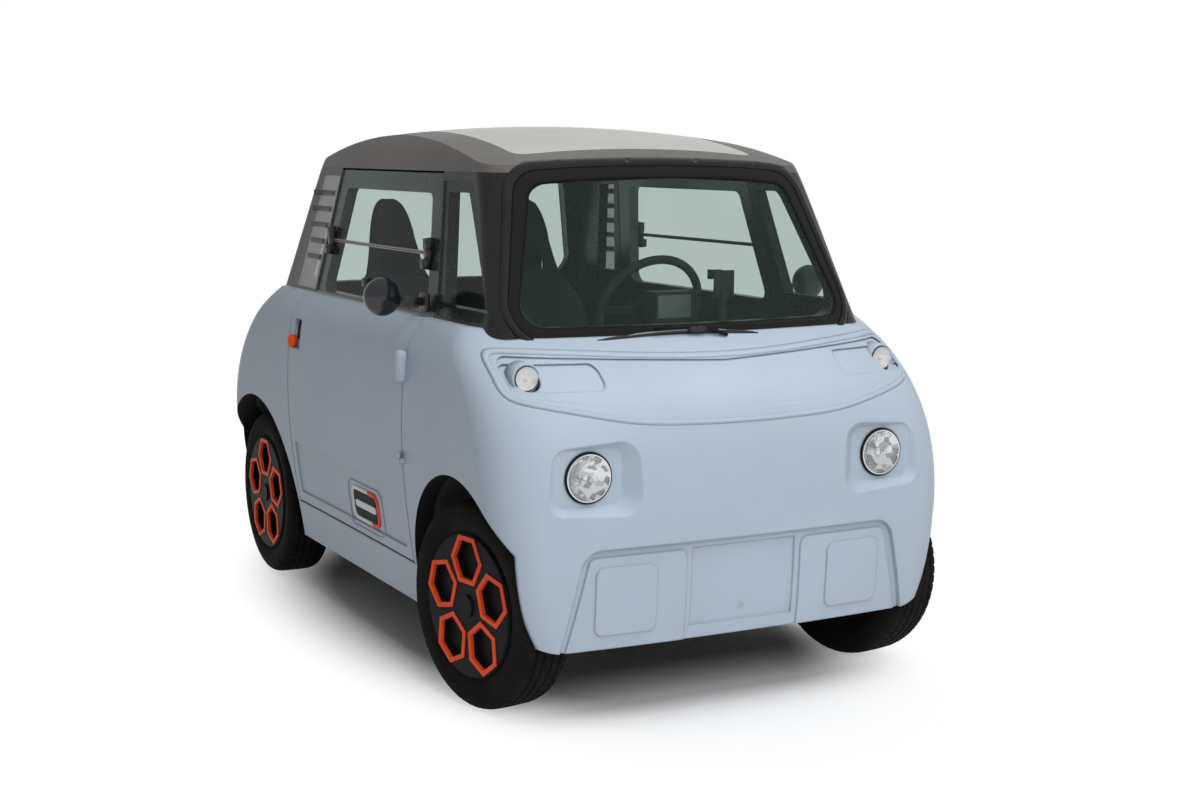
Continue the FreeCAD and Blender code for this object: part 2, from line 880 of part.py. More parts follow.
dish_plane = probe_x(body_outer, S.headlamp_spread, S.headlamp_height)
headlamp_floor = dish_plane - S.dish_depth
turn_lamp_floor = probe_x(body_outer, S.turn_lamp_spread, S.turn_lamp_height) - S.band_depth - S.lamp_bay_depth
for side in (LEFT, RIGHT):
    bay_middle = side * (S.band_half_width - S.lamp_bay_width / 2)
    bay_level = S.turn_lamp_height
    bay = front_prism(rectangle(bay_middle, bay_level, S.lamp_bay_width, S.lamp_bay_height), S.lamp_bay_height / 3)
    panel = panel.cut(bay.cut(bay_under))
    lamp_hole = Part.makeCylinder(
        S.turn_lamp_radius + S.pane_gap,
        half_length,
        Vector(turn_lamp_floor - S.turn_lamp_depth, side * S.turn_lamp_spread, S.turn_lamp_height),
        Vector(1, 0, 0),
    )
    panel = panel.cut(lamp_hole)
    dish_wires = []
    for step in (-1, 1):
        width = S.dish_width + step * (S.dish_width - S.dish_floor_width)
        height = S.dish_height + step * (S.dish_height - S.dish_floor_height)
        corners = [
            Vector(dish_plane + step * S.dish_depth, side * S.headlamp_spread + y, S.headlamp_height + z)
            for y, z in rectangle(0, 0, width, height)
        ]
        dish_wires.append(rounded_wire(corners, S.dish_corner * width / S.dish_width))
    panel = panel.cut(Part.makeLoft(dish_wires, True, True))
    headlamp_hole = Part.makeCylinder(
        S.headlamp_radius + S.pane_gap,
        S.dish_depth * 2,
        Vector(headlamp_floor - S.body_wall, side * S.headlamp_spread, S.headlamp_height),
        Vector(1, 0, 0),
    )
    panel = panel.cut(headlamp_hole)



def hinge_lug(low, along):
    """A hinge lug at the right door's axis with a web reaching fore or aft."""
    barrel = Part.makeCylinder(
        S.hinge_lug_radius, S.hinge_lug_height, Vector(S.door_hinge_place, -S.door_hinge_spread, low)
    )
    near = S.door_hinge_place
    far = near + along * S.hinge_web_reach
    web = box(
        Vector(min(near, far), -S.door_hinge_spread, low),
        Vector(max(near, far), -S.door_hinge_spread + S.body_wall / 2, low + S.hinge_lug_height),
    )
    beside = box(
        Vector(near - S.hinge_lug_radius, -S.door_hinge_spread + S.hinge_lug_radius, low),
        Vector(near + S.hinge_lug_radius, -S.door_hinge_spread + S.body_wall, low + S.hinge_lug_height),
    )
    return barrel.fuse(web).cut(beside.cut(door_rooms[0] if along < 0 else front_box.cut(door_openings[0])))


hinge_levels = (S.hinge_low_level, S.hinge_high_level)
for level in hinge_levels:
    pin = Part.makeCylinder(
        S.hinge_pin_radius, S.hinge_lug_height * 2, Vector(S.door_hinge_place, -S.door_hinge_spread, level)
    )
    panel = panel.fuse(hinge_lug(level, 1).fuse(pin))
keep("end_panels", Part.makeCompound([panel, half_turn(panel)]))

sill_cut = box(
    Vector(-sill_half_length + S.seam_gap, -S.body_width, S.body_bottom - S.overrun),
    Vector(sill_half_length - S.seam_gap, S.body_width, sill_top - S.seam_gap),
)
sills = body_shell.common(sill_cut)
for space in front_wheel_spaces:
    sills = sills.cut(space).cut(half_turn(space))
keep("sills", sills)

# Doors' lower halves, which are also one moulding turned half round

hollow = inner_form(
    body_outer,
    [S.body_bottom + share * body_height for share in hollow_level_shares],
    S.body_wall + S.seam_gap,
    hollow_corner_share,
).common(taller_body_form(S.body_wall_least + S.seam_gap))
door_panel = body_shell.common(door_rooms[0])
lower_form = body_form(S.lower_recess_depth)
lower_outline = [
    (-S.door_width / 2 + S.handle_inset, S.lower_recess_bottom),
    (S.door_width / 2 - S.handle_inset, S.lower_recess_bottom),
    (S.door_width / 2 - S.handle_inset, S.lower_recess_top),
    (-S.door_width / 2 + S.handle_inset, S.lower_recess_top),
]
door_panel = door_panel.cut(side_prism(lower_outline, RIGHT, S.handle_corner).cut(lower_form))
handle_middle = -S.door_width / 2 + S.handle_inset + S.handle_length / 2
handle_corners = rectangle(handle_middle, S.handle_level, S.handle_length, S.handle_height)
door_panel = door_panel.cut(side_prism(handle_corners, RIGHT, S.handle_corner).cut(body_form(S.handle_depth)))
for level in hinge_levels:
    lug_low = level + S.hinge_lug_height + S.running_clearance * 10
    bore = Part.makeCylinder(
        S.hinge_pin_radius + S.running_clearance,
        S.hinge_lug_height * 2,
        Vector(S.door_hinge_place, -S.door_hinge_spread, level),
    )
    door_panel = door_panel.fuse(hinge_lug(lug_low, -1)).cut(bore)
keep("door_panel_right", door_panel)
keep("door_panel_left", half_turn(door_panel))

# Glass house: panes lie flush in rebates of the frames behind them

def windscreen_outline(grow):
    """The windscreen's outline seen from the front, widened on all edges."""
    return [
        (-S.windscreen_half_bottom - grow, S.windscreen_bottom - grow),
        (S.windscreen_half_bottom + grow, S.windscreen_bottom - grow),
        (S.windscreen_half_top + grow, S.windscreen_top + grow),
        (0, S.windscreen_top + S.windscreen_rise + grow),
        (-S.windscreen_half_top - grow, S.windscreen_top + grow),
    ]


def quarter_outline(low_reach, high_reach, grow):
    """A quarter pane's outline beside the door opening."""
    low = S.door_width / 2 + S.quarter_door_border - grow
    high = S.door_top_width / 2 + S.quarter_door_border - grow
    return [
        (low, S.quarter_bottom - grow),
        (low_reach + grow, S.quarter_bottom - grow),
        (high_reach + grow, S.quarter_top + grow),
        (high, S.quarter_top + grow),
    ]


def door_pane_room(grow):
    """The room of the door's pane above the belt."""
    floor = S.belt_height + S.windscreen_rise / 3 - grow
    above = box(
        Vector(-S.body_width, -S.body_width, floor),
        Vector(S.body_width, S.body_width, S.roof_top + S.overrun),
    )
    return door_rooms[0].common(above)


def roof_pane_prism(grow):
    """The roof pane's outline seen from above, widened on all edges."""
    reach = S.roof_glass_half_length + grow
    wide = S.roof_glass_half_width + grow
    corners = [Vector(x, y, S.drip_height) for x, y in ((-reach, -wide), (reach, -wide), (reach, wide), (-reach, wide))]
    return prism(corners, UP * (S.roof_top + S.overrun - S.drip_height), S.roof_glass_corner)


gap = S.pane_gap
front_window = front_prism(windscreen_outline(0), S.windscreen_corner)
front_rebate = front_prism(windscreen_outline(gap), S.windscreen_corner).common(pane_space)
front_clear = front_prism(windscreen_outline(-S.windscreen_border), S.windscreen_corner)
keep("windscreen", pane_layer.common(front_window))
keep("rear_window", pane_layer.common(half_turn(front_window)))

quarter_reaches = (
    (S.quarter_front_low, S.quarter_front_high, False),
    (S.quarter_rear_low, S.quarter_rear_high, True),
)
quarter_panes = []
quarter_tools = []
for low_reach, high_reach, rearward in quarter_reaches:
    for side in (LEFT, RIGHT):
        pane = side_prism(quarter_outline(low_reach, high_reach, 0), side)
        rebate = side_prism(quarter_outline(low_reach, high_reach, gap), side)
        clear = side_prism(quarter_outline(low_reach, high_reach, -S.quarter_border), side)
        if rearward:
            pane, rebate, clear = mirror_x(pane), mirror_x(rebate), mirror_x(clear)
        quarter_panes.append(pane_layer.common(pane))
        quarter_tools += [rebate.common(pane_space), clear]
keep("quarter_glass", Part.makeCompound(quarter_panes))

below_roof = box(
    Vector(-S.body_width, -S.body_width, S.glass_house_bottom),
    Vector(S.body_width, S.body_width, S.drip_height - gap),
)
frame = glass_shell.common(below_roof)
for opening in door_openings + quarter_tools:
    frame = frame.cut(opening)
for tool in (front_rebate, front_clear):
    frame = frame.cut(tool).cut(half_turn(tool))
keep("pillar_frame", frame)

above_roof = box(
    Vector(-S.body_width, -S.body_width, S.drip_height),
    Vector(S.body_width, S.body_width, S.roof_top + S.overrun),
)
roof = glass_outer.cut(glass_house_form(S.roof_wall)).common(above_roof)
roof = roof.cut(front_rebate).cut(half_turn(front_rebate))
roof = roof.cut(roof_pane_prism(gap).common(pane_space)).cut(roof_pane_prism(-S.roof_glass_border))
keep("roof_shell", roof)
keep("roof_glass", pane_layer.common(roof_pane_prism(0)))

clear_low = S.door_width / 2 - S.window_border
clear_high = S.door_top_width / 2 - S.window_border
clear_outline = [
    (-clear_low, S.quarter_bottom + gap),
    (clear_low, S.quarter_bottom + gap),
    (clear_high, S.drip_height - S.window_border),
    (-clear_high, S.drip_height - S.window_border),
]
door_frame = glass_shell.common(door_rooms[0])
door_frame = door_frame.cut(door_pane_room(gap).common(pane_space))
door_frame = door_frame.cut(side_prism(clear_outline, RIGHT, S.window_corner))
keep("door_frame_right", door_frame)
keep("door_frame_left", half_turn(door_frame))
door_glass = pane_layer.common(door_pane_room(0))
keep("door_glass_right", door_glass)
keep("door_glass_left", half_turn(door_glass))

# Platform: a floor with rails and cross members inside the body's skin

rail_bottom = S.floor_level - S.rail_height
floor_top = S.floor_level + S.floor_thickness
platform = box(
    Vector(-S.floor_mid_half_length, -half_width, S.floor_level),
    Vector(S.floor_mid_half_length, half_width, floor_top),
)
platform = platform.fuse(box(
    Vector(-half_length, -S.floor_end_half_width, S.floor_level),
    Vector(half_length, S.floor_end_half_width, floor_top),
))
for side in (LEFT, RIGHT):
    platform = platform.fuse(box(
        Vector(-half_length, side * S.rail_spread - S.rail_width / 2, rail_bottom),
        Vector(half_length, side * S.rail_spread + S.rail_width / 2, S.floor_level),
    ))
    platform = platform.fuse(box(
        Vector(side * S.cross_member_offset - S.cross_member_width / 2, -half_width, rail_bottom),
        Vector(side * S.cross_member_offset + S.cross_member_width / 2, half_width, S.floor_level),
    ))
for end in (FRONT, REAR):
    for side in (LEFT, RIGHT):
        middle = Vector(end * S.cross_member_offset, side * S.jack_pad_spread, rail_bottom)
        half = Vector(S.jack_pad_length / 2, S.jack_pad_width / 2, 0)
        platform = platform.fuse(box(middle - half - UP * S.jack_pad_height, middle + half))
keep("platform", platform.common(hollow).removeSplitter())

# Wheel wells behind the panels

well_parts = []
lined_radius = S.arch_radius + S.liner_wall
for end in (FRONT, REAR):
    for side in (LEFT, RIGHT):
        low_y = min(side * (S.well_inner - S.liner_wall), side * half_width)
        depth = half_width - S.well_inner + S.liner_wall
        lined = Part.makeCylinder(lined_radius, depth, Vector(end * hub_x, low_y, hub_z), ACROSS)
        open_y = min(side * S.well_inner, side * S.body_width)
        space = Part.makeCylinder(
            S.arch_radius, S.body_width - S.well_inner, Vector(end * hub_x, open_y, hub_z), ACROSS
        )
        inboard = box(
            Vector(end * hub_x - S.body_width / 2, side * S.well_inner - S.overrun, 0),
            Vector(end * hub_x + S.body_width / 2, side * S.well_inner + S.overrun, S.liner_open_level),
        )
        ground = box(
            Vector(-S.overall_length, -S.body_width, 0),
            Vector(S.overall_length, S.body_width, S.floor_level),
        )
        arm_y = side * S.rear_arm_spread
        arm_slot = box(
            Vector(-S.wheelbase, arm_y - S.rear_arm_width / 2 - S.liner_wall, 0),
            Vector(-S.floor_mid_half_length, arm_y + S.rear_arm_width / 2 + S.liner_wall, floor_top + S.liner_wall * 2),
        )
        well_parts.append(lined.cut(space).cut(inboard).cut(ground).cut(arm_slot).common(hollow))
keep("arch_liners", Part.makeCompound(well_parts))

# Dashboard and steering column

dash_outline = [
    (S.dash_rear, S.dash_bottom + S.dash_lip),
    (S.dash_rear, S.dash_top - S.dash_lip),
    (S.dash_rear + S.dash_lip, S.dash_top),
    (S.dash_front, S.dash_top),
    (S.dash_front, S.dash_bottom),
    (S.dash_rear + S.dash_lip * 2, S.dash_bottom),
]
dash_corners = [Vector(x, -half_width, z) for x, z in dash_outline]
keep("dashboard", prism(dash_corners, ACROSS * S.body_width).common(hollow))

tilt = math.radians(S.steering_tilt)
steering_axis = Vector(-math.cos(tilt), 0, math.sin(tilt))
steering_place = Vector(S.steering_wheel_place, S.driver_side, S.steering_wheel_level)
column = Part.makeCylinder(
    S.column_radius,
    S.column_length,
    steering_place - steering_axis * (S.steering_hub_depth / 2 + S.column_gap),
    steering_axis * -1,
)
pod = box(
    Vector(S.pod_place - S.pod_depth / 2, S.driver_side - S.pod_width / 2, S.pod_bottom),
    Vector(S.pod_place + S.pod_depth / 2, S.driver_side + S.pod_width / 2, S.pod_bottom + S.pod_height),
)
dash_room = box(
    Vector(S.dash_rear - gap, -half_width, S.dash_bottom),
    Vector(S.dash_front, half_width, S.dash_top),
)
shaft = Part.makeCylinder(
    S.steering_shaft_radius,
    S.steering_hub_depth + S.column_gap * 2 - S.steering_shaft_end,
    steering_place - steering_axis * (S.steering_hub_depth / 2 + S.column_gap * 2),
    steering_axis,
)
keep("steering_column", column.fuse(pod).cut(dash_room).fuse(shaft))

rim_low = "(steering_wheel_radius - steering_rim_radius)"
rim_high = "(steering_wheel_radius + steering_rim_radius)"
rim = turned_body("steering_rim", [
    (rim_low, "-steering_rim_radius / 2"),
    ("steering_wheel_radius", "-steering_rim_radius"),
    (rim_high, "-steering_rim_radius / 2"),
    (rim_high, "steering_rim_radius / 2"),
    ("steering_wheel_radius", "steering_rim_radius"),
    (rim_low, "steering_rim_radius / 2"),
])
hub = rod("steering_hub", "steering_hub_radius", "steering_hub_depth", ("0", "-steering_hub_depth / 2", "0"), ACROSS)
cross_spoke = block(
    "cross_spoke",
    ("-steering_wheel_radius", "-spoke_thickness / 2", "-spoke_width / 2"),
    ("steering_wheel_radius", "spoke_thickness / 2", "spoke_width / 2"),
)
low_spoke = block(
    "low_spoke",
    ("-spoke_width / 2", "-spoke_thickness / 2", "-steering_wheel_radius"),
    ("spoke_width / 2", "spoke_thickness / 2", "0"),
)
steering_bore = rod(
    "steering_bore",
    "steering_shaft_radius + running_clearance",
    "steering_hub_depth - steering_shaft_end / 2",
    ("0", "-steering_hub_depth / 2", "0"),
    ACROSS,
)
steering_parts = joined("steering_parts", [rim, hub, cross_spoke, low_spoke])
steering_wheel = less("steering_wheel", steering_parts, steering_bore)
wheel_up = Vector(math.sin(tilt), 0, math.cos(tilt))
steering_wheel.Placement = Placement(steering_place, Rotation(ACROSS, steering_axis, wheel_up, "XYZ"))
keep_object("steering_wheel", steering_wheel)

# Seats on a plinth over the battery

PLINTH_TOP = "(seat_height - seat_cushion_thickness - seam_gap)"
FLOOR_TOP = "(floor_level + floor_thickness + seam_gap)"
plinth = block(
    "plinth",
    ("-seat_base_rear", "-seat_base_half_width", FLOOR_TOP),
    ("seat_base_front", "seat_base_half_width", PLINTH_TOP),
)
battery_low = ("-battery_place - battery_length / 2", "-battery_width / 2", FLOOR_TOP)
battery_high = ("-battery_place + battery_length / 2", "battery_width / 2", FLOOR_TOP + " + battery_height")
battery = block("battery", battery_low, battery_high)
recess = block(
    "battery_recess",
    (battery_low[0] + " - seam_gap", battery_low[1] + " - seam_gap", FLOOR_TOP),
    (battery_high[0] + " + seam_gap", battery_high[1] + " + seam_gap", battery_high[2] + " + seam_gap"),
)
keep_object("seat_base", less("seat_base", plinth, recess))
keep_object("battery_block", battery)

SEAT_TOP = "(seat_height + seat_back_height + headrest_height)"


def seat(label, front, side):
    """A shell seat: its side outline padded, then narrowed to its front outline."""
    back = f"({front} - seat_length)"
    lean = f"({back} - seat_back_lean)"
    side_view = padded_body(
        label + "_side",
        "XZ_Plane",
        [
            (back + " - seat_back_thickness", "seat_height - seat_cushion_thickness"),
            (front, "seat_height - seat_cushion_thickness"),
            (front, "seat_height"),
            (back, "seat_height"),
            (lean, "seat_height + seat_back_height"),
            (lean + " - headrest_lean", SEAT_TOP),
            (lean + " - headrest_lean - seat_back_thickness * 0.7", SEAT_TOP),
            (lean + " - seat_back_thickness", "seat_height + seat_back_height"),
        ],
        "seat_width",
        f"-({side}) - seat_width / 2",
    )
    front_view = padded_body(
        label + "_front",
        "YZ_Plane",
        [
            (f"{side} - seat_width / 2", "seat_height - seat_cushion_thickness"),
            (f"{side} + seat_width / 2", "seat_height - seat_cushion_thickness"),
            (f"{side} + seat_width / 2", "seat_height + seat_back_height * 0.8"),
            (f"{side} + headrest_bottom_width / 2", "seat_height + seat_back_height"),
            (f"{side} + headrest_top_width / 2", SEAT_TOP),
            (f"{side} - headrest_top_width / 2", SEAT_TOP),
            (f"{side} - headrest_bottom_width / 2", "seat_height + seat_back_height"),
            (f"{side} - seat_width / 2", "seat_height + seat_back_height * 0.8"),
        ],
        "overall_length",
        "-overall_length / 2",
    )
    return keep_object(label, shared(label, side_view, front_view))


seat("driver_seat", "driver_seat_front", "driver_side")
seat("passenger_seat", "passenger_seat_front", "-passenger_side")

# Lamps in the nose and tail

def lamp(x, y, z, radius, depth):
    """A round lamp with a low bevelled lens."""
    shell = Part.makeCylinder(radius, depth, Vector(x - depth, y, z), ALONG)
    lens = Part.makeCone(radius, radius * S.lens_share, S.headlamp_dome, Vector(x, y, z), ALONG)
    return shell.fuse(lens).removeSplitter()


headlamps = []
turn_lamps = []
for side in (LEFT, RIGHT):
    headlamps.append(lamp(
        headlamp_floor + S.headlamp_rim, side * S.headlamp_spread, S.headlamp_height, S.headlamp_radius, S.headlamp_depth
    ))
    turn_lamps.append(lamp(
        turn_lamp_floor + S.headlamp_rim, side * S.turn_lamp_spread, S.turn_lamp_height, S.turn_lamp_radius, S.turn_lamp_depth
    ))
keep("headlamps", Part.makeCompound(headlamps))
keep("tail_lamps", Part.makeCompound([half_turn(each) for each in headlamps]))
keep("turn_lamps", Part.makeCompound(turn_lamps + [half_turn(each) for each in turn_lamps]))

# Wiper lying along the windscreen's base

blade_low = S.windscreen_bottom + S.wiper_rise
blade_outline = rectangle(-S.wiper_blade_centre, blade_low, S.wiper_blade_half * 2, S.wiper_blade_height)
arm_outline = [
    (S.wiper_pivot_side, S.windscreen_bottom),
    (S.wiper_pivot_side + S.wiper_arm_width, blade_low),
    (-S.wiper_blade_centre, blade_low + S.wiper_blade_height),
    (-S.wiper_blade_centre, blade_low),
]
wiper_layer = glass_house_form(-S.wiper_clearance - S.wiper_arm_width).cut(glass_house_form(-S.wiper_clearance))
wiper = front_prism(blade_outline).fuse(front_prism(arm_outline)).common(wiper_layer)
pivot_x = probe_x(glass_outer, S.wiper_pivot_side, blade_low)
pivot = Part.makeCylinder(
    S.wiper_pivot_radius,
    blade_low + S.wiper_blade_height / 2 - S.glass_house_bottom,
    Vector(pivot_x + S.wiper_arm_width / 2, S.wiper_pivot_side, S.glass_house_bottom),
)
keep("wiper", wiper.fuse(pivot).cut(body_form(-S.seam_gap)).cut(glass_around))

# Mirrors on the doors

for side, name in ((LEFT, "mirror_left"), (RIGHT, "mirror_right")):
    centre = Vector(S.mirror_place, side * (half_width + S.mirror_reach - S.mirror_radius), S.mirror_level)
    ring_radius = S.mirror_radius * S.lens_share
    rear = Part.makeCone(S.mirror_radius, ring_radius, S.mirror_radius / 2, centre, ALONG)
    face = Part.makeCone(S.mirror_radius, ring_radius, S.mirror_radius / 3, centre, ALONG * -1)
    foot_y = probe_y(glass_outer, S.mirror_foot_level)
    foot = box(
        Vector(S.mirror_foot_place - S.mirror_foot_size / 2, min(side * foot_y, side * (foot_y + S.mirror_foot_depth)),
               S.mirror_foot_level - S.mirror_foot_size / 2),
        Vector(S.mirror_foot_place + S.mirror_foot_size / 2, max(side * foot_y, side * (foot_y + S.mirror_foot_depth)),
               S.mirror_foot_level + S.mirror_foot_size / 2),
    ).cut(glass_around)
    start = Vector(S.mirror_foot_place, side * foot_y, S.mirror_foot_level)
    arm = Part.makeCylinder(S.mirror_arm_radius, (centre - start).Length, start, centre - start).cut(glass_around)
    keep(name, rear.fuse(face).fuse(foot).fuse(arm))

# Motor, suspension and steering under the nose, trailing arms at the tail

motor = block(
    "motor_case",
    (f"{HUB_X} + motor_offset - motor_length / 2", "-motor_width / 2", FLOOR_TOP),
    (f"{HUB_X} + motor_offset + motor_length / 2", "motor_width / 2", FLOOR_TOP + " + motor_height"),
)
drive = rod(
    "drive_shafts",
    "shaft_radius",
    f"({KINGPIN_Y} - shaft_end_gap) * 2",
    (HUB_X, f"-({KINGPIN_Y} - shaft_end_gap)", HUB_Z),
    ACROSS,
)
keep_object("motor_block", joined("motor_block", [motor, drive]))

rack = rod(
    "rack_tube",
    "steer_rack_radius",
    "(floor_end_half_width - overrun) * 2",
    (f"{HUB_X} - steer_rack_offset", "-floor_end_half_width + overrun", FLOOR_TOP + " + steer_rack_radius"),
    ACROSS,
)
subframe = block(
    "subframe",
    (f"{HUB_X} - subframe_half_length", "-subframe_half_width", "lower_eye_level"),
    (f"{HUB_X} + subframe_half_length", "subframe_half_width", "floor_level - seam_gap"),
)
lower_arms = block(
    "lower_arms",
    (f"{HUB_X} - arm_width / 2", f"-{KINGPIN_Y}", "lower_eye_level"),
    (f"{HUB_X} + arm_width / 2", KINGPIN_Y, "lower_eye_level + arm_thickness"),
)
strut_rods = []
eyes = []
bores = []
for side in ("", "-"):
    place_y = f"{side}{KINGPIN_Y}"
    eyes.append(rod("lower_eye", "arm_eye_radius", "arm_thickness", (HUB_X, place_y, "lower_eye_level"), UP))
    eyes.append(rod("upper_eye", "arm_eye_radius", "arm_thickness", (HUB_X, place_y, "upper_eye_level"), UP))
    bores.append(rod(
        "kingpin_bore", "kingpin_radius + kingpin_clearance", HUB_Z + " * 2", (HUB_X, place_y, "0"), UP
    ))
    strut_y = f"{side}({KINGPIN_Y} - strut_offset)"
    strut_rods.append(rod(
        "strut_rod", "strut_radius", f"{HUB_Z} + arch_radius - upper_eye_level", (HUB_X, strut_y, "upper_eye_level"), UP
    ))
    strut_rods.append(rod(
        "strut_cup", "strut_cup_radius", "strut_cup_height * 2",
        (HUB_X, strut_y, f"{HUB_Z} + arch_radius - strut_cup_height"), UP
    ))
    bracket_ends = (f"{KINGPIN_Y} - strut_offset", KINGPIN_Y)
    if side:
        bracket_ends = (f"-{KINGPIN_Y}", f"-({KINGPIN_Y} - strut_offset)")
    strut_rods.append(block(
        "strut_bracket",
        (f"{HUB_X} - arm_width / 2", bracket_ends[0], "upper_eye_level"),
        (f"{HUB_X} + arm_width / 2", bracket_ends[1], "upper_eye_level + arm_thickness"),
    ))
well_round = rod("well_round", "arch_radius - seam_gap", "body_width", (HUB_X, "-body_width / 2", HUB_Z), ACROSS)
carriers = joined("front_carriers", [subframe, lower_arms] + strut_rods + eyes)
carriers = shared("front_carriers_round", carriers, well_round)
carriers = less("front_carriers_bored", carriers, joined("kingpin_bores", bores))
keep_object("front_suspension", joined("front_suspension", [carriers, rack]))

REAR_ARM_OUT = "(rear_arm_spread + rear_arm_width / 2)"
rear_parts = []
for side in ("", "-"):
    rear_parts.append(padded_body(
        "rear_arm",
        "XZ_Plane",
        [
            ("-floor_mid_half_length - seam_gap", "floor_level - rail_height"),
            ("-floor_mid_half_length - seam_gap", "floor_level + floor_thickness"),
            (f"-{HUB_X} + rear_arm_depth / 2", f"{HUB_Z} + rear_arm_depth / 2"),
            (f"-{HUB_X} - rear_arm_depth / 2", f"{HUB_Z} + rear_arm_depth / 2"),
            (f"-{HUB_X} - rear_arm_depth / 2", f"{HUB_Z} - rear_arm_depth / 2"),
            ("-rear_beam_place - rear_beam_radius", "rear_arm_low"),
            ("-rear_beam_place + rear_beam_radius * 2", "rear_arm_low"),
        ],
        "rear_arm_width",
        f"-({side}rear_arm_spread) - rear_arm_width / 2",
    ))
    start = f"-{HUB_X}"
    spindle_start = "rear_arm_spread"
    spindle_length = f"({HUB_Y} + hub_cap_face - hub_cap_wall - spindle_end_gap - rear_arm_spread)"
    if side:
        spindle_start = f"-rear_arm_spread - {spindle_length}"
    rear_parts.append(rod("rear_spindle", "spindle_radius", spindle_length, (start, spindle_start, HUB_Z), ACROSS))
    rear_parts.append(rod(
        "rear_damper",
        "strut_radius",
        "arch_radius",
        (start, f"{side}rear_arm_spread", HUB_Z),
        UP,
    ))
rear_parts.append(rod(
    "rear_beam",
    "rear_beam_radius",
    "rear_arm_spread * 2",
    ("-rear_beam_place", "-rear_arm_spread", "rear_beam_level"),
    ACROSS,
))
rear_round = rod("rear_round", "arch_radius - seam_gap", "body_width * 2", (f"-{HUB_X}", "-body_width", HUB_Z), ACROSS)
rear_front = block(
    "rear_front",
    ("-wheelbase", "-body_width / 2", "0"),
    ("-floor_mid_half_length - seam_gap", "body_width / 2", "floor_level + floor_thickness * 6"),
)
rear_room = joined("rear_room", [rear_round, rear_front])
keep_object("rear_suspension", shared("rear_suspension", joined("rear_carriers", rear_parts), rear_room))

# Knuckles, which turn about upright kingpins at the car's rest steer

SPINDLE_TIP = "(kingpin_offset + hub_cap_face - hub_cap_wall - spindle_end_gap)"
rest_turn = {
    ("front", LEFT): S.rest_steer_angle,
    ("front", RIGHT): S.rest_steer_angle + 180,
    ("rear", LEFT): 0,
    ("rear", RIGHT): 180,
}
for side, word in ((LEFT, "left"), (RIGHT, "right")):
    pin = rod(
        "kingpin", "kingpin_radius", "upper_eye_level - lower_eye_level + arm_thickness", ("0", "0", "lower_eye_level"), UP
    )
    web = block(
        "knuckle_web",
        ("-knuckle_width / 2", "-knuckle_thickness / 2", "tyre_radius - knuckle_height / 2"),
        ("knuckle_width / 2", "knuckle_thickness / 2", "tyre_radius + knuckle_height / 2"),
    )
    spindle = rod("spindle", "spindle_radius", SPINDLE_TIP, ("0", "0", HUB_Z), ACROSS)
    knuckle = joined("knuckle_" + word, [pin, web, spindle])
    knuckle.Placement = Placement(Vector(hub_x, side * kingpin_y, 0), Rotation(UP, rest_turn["front", side]))
    keep_object("knuckle_" + word, knuckle)

# Wheels: tyre, wheel with five hexagonal pockets, and trim rings

COVER_BACK = "(cover_edge_face - cover_thickness)"
TYRE_BORE = "(rim_radius + pane_gap)"


def wheel_placement(end, side):
    """Where a wheel's own centre sits, its Y axis pointing outwards."""
    if end == "rear":
        return Placement(Vector(-hub_x, side * hub_y, hub_z), Rotation(UP, rest_turn[end, side]))
    turn = Rotation(UP, rest_turn[end, side])
    return Placement(Vector(hub_x, side * kingpin_y, hub_z) + turn.multVec(ACROSS * S.kingpin_offset), turn)


def hexagon(radius):
    """Corners of a hexagon beyond the hub with a flat facing it."""
    flat = f"{radius} * hexagon_share"
    return [
        (f"{radius}", "pocket_spread"),
        (f"{radius} / 2", f"pocket_spread + {flat}"),
        (f"-{radius} / 2", f"pocket_spread + {flat}"),
        (f"-{radius}", "pocket_spread"),
        (f"-{radius} / 2", f"pocket_spread - {flat}"),
        (f"{radius} / 2", f"pocket_spread - {flat}"),
    ]


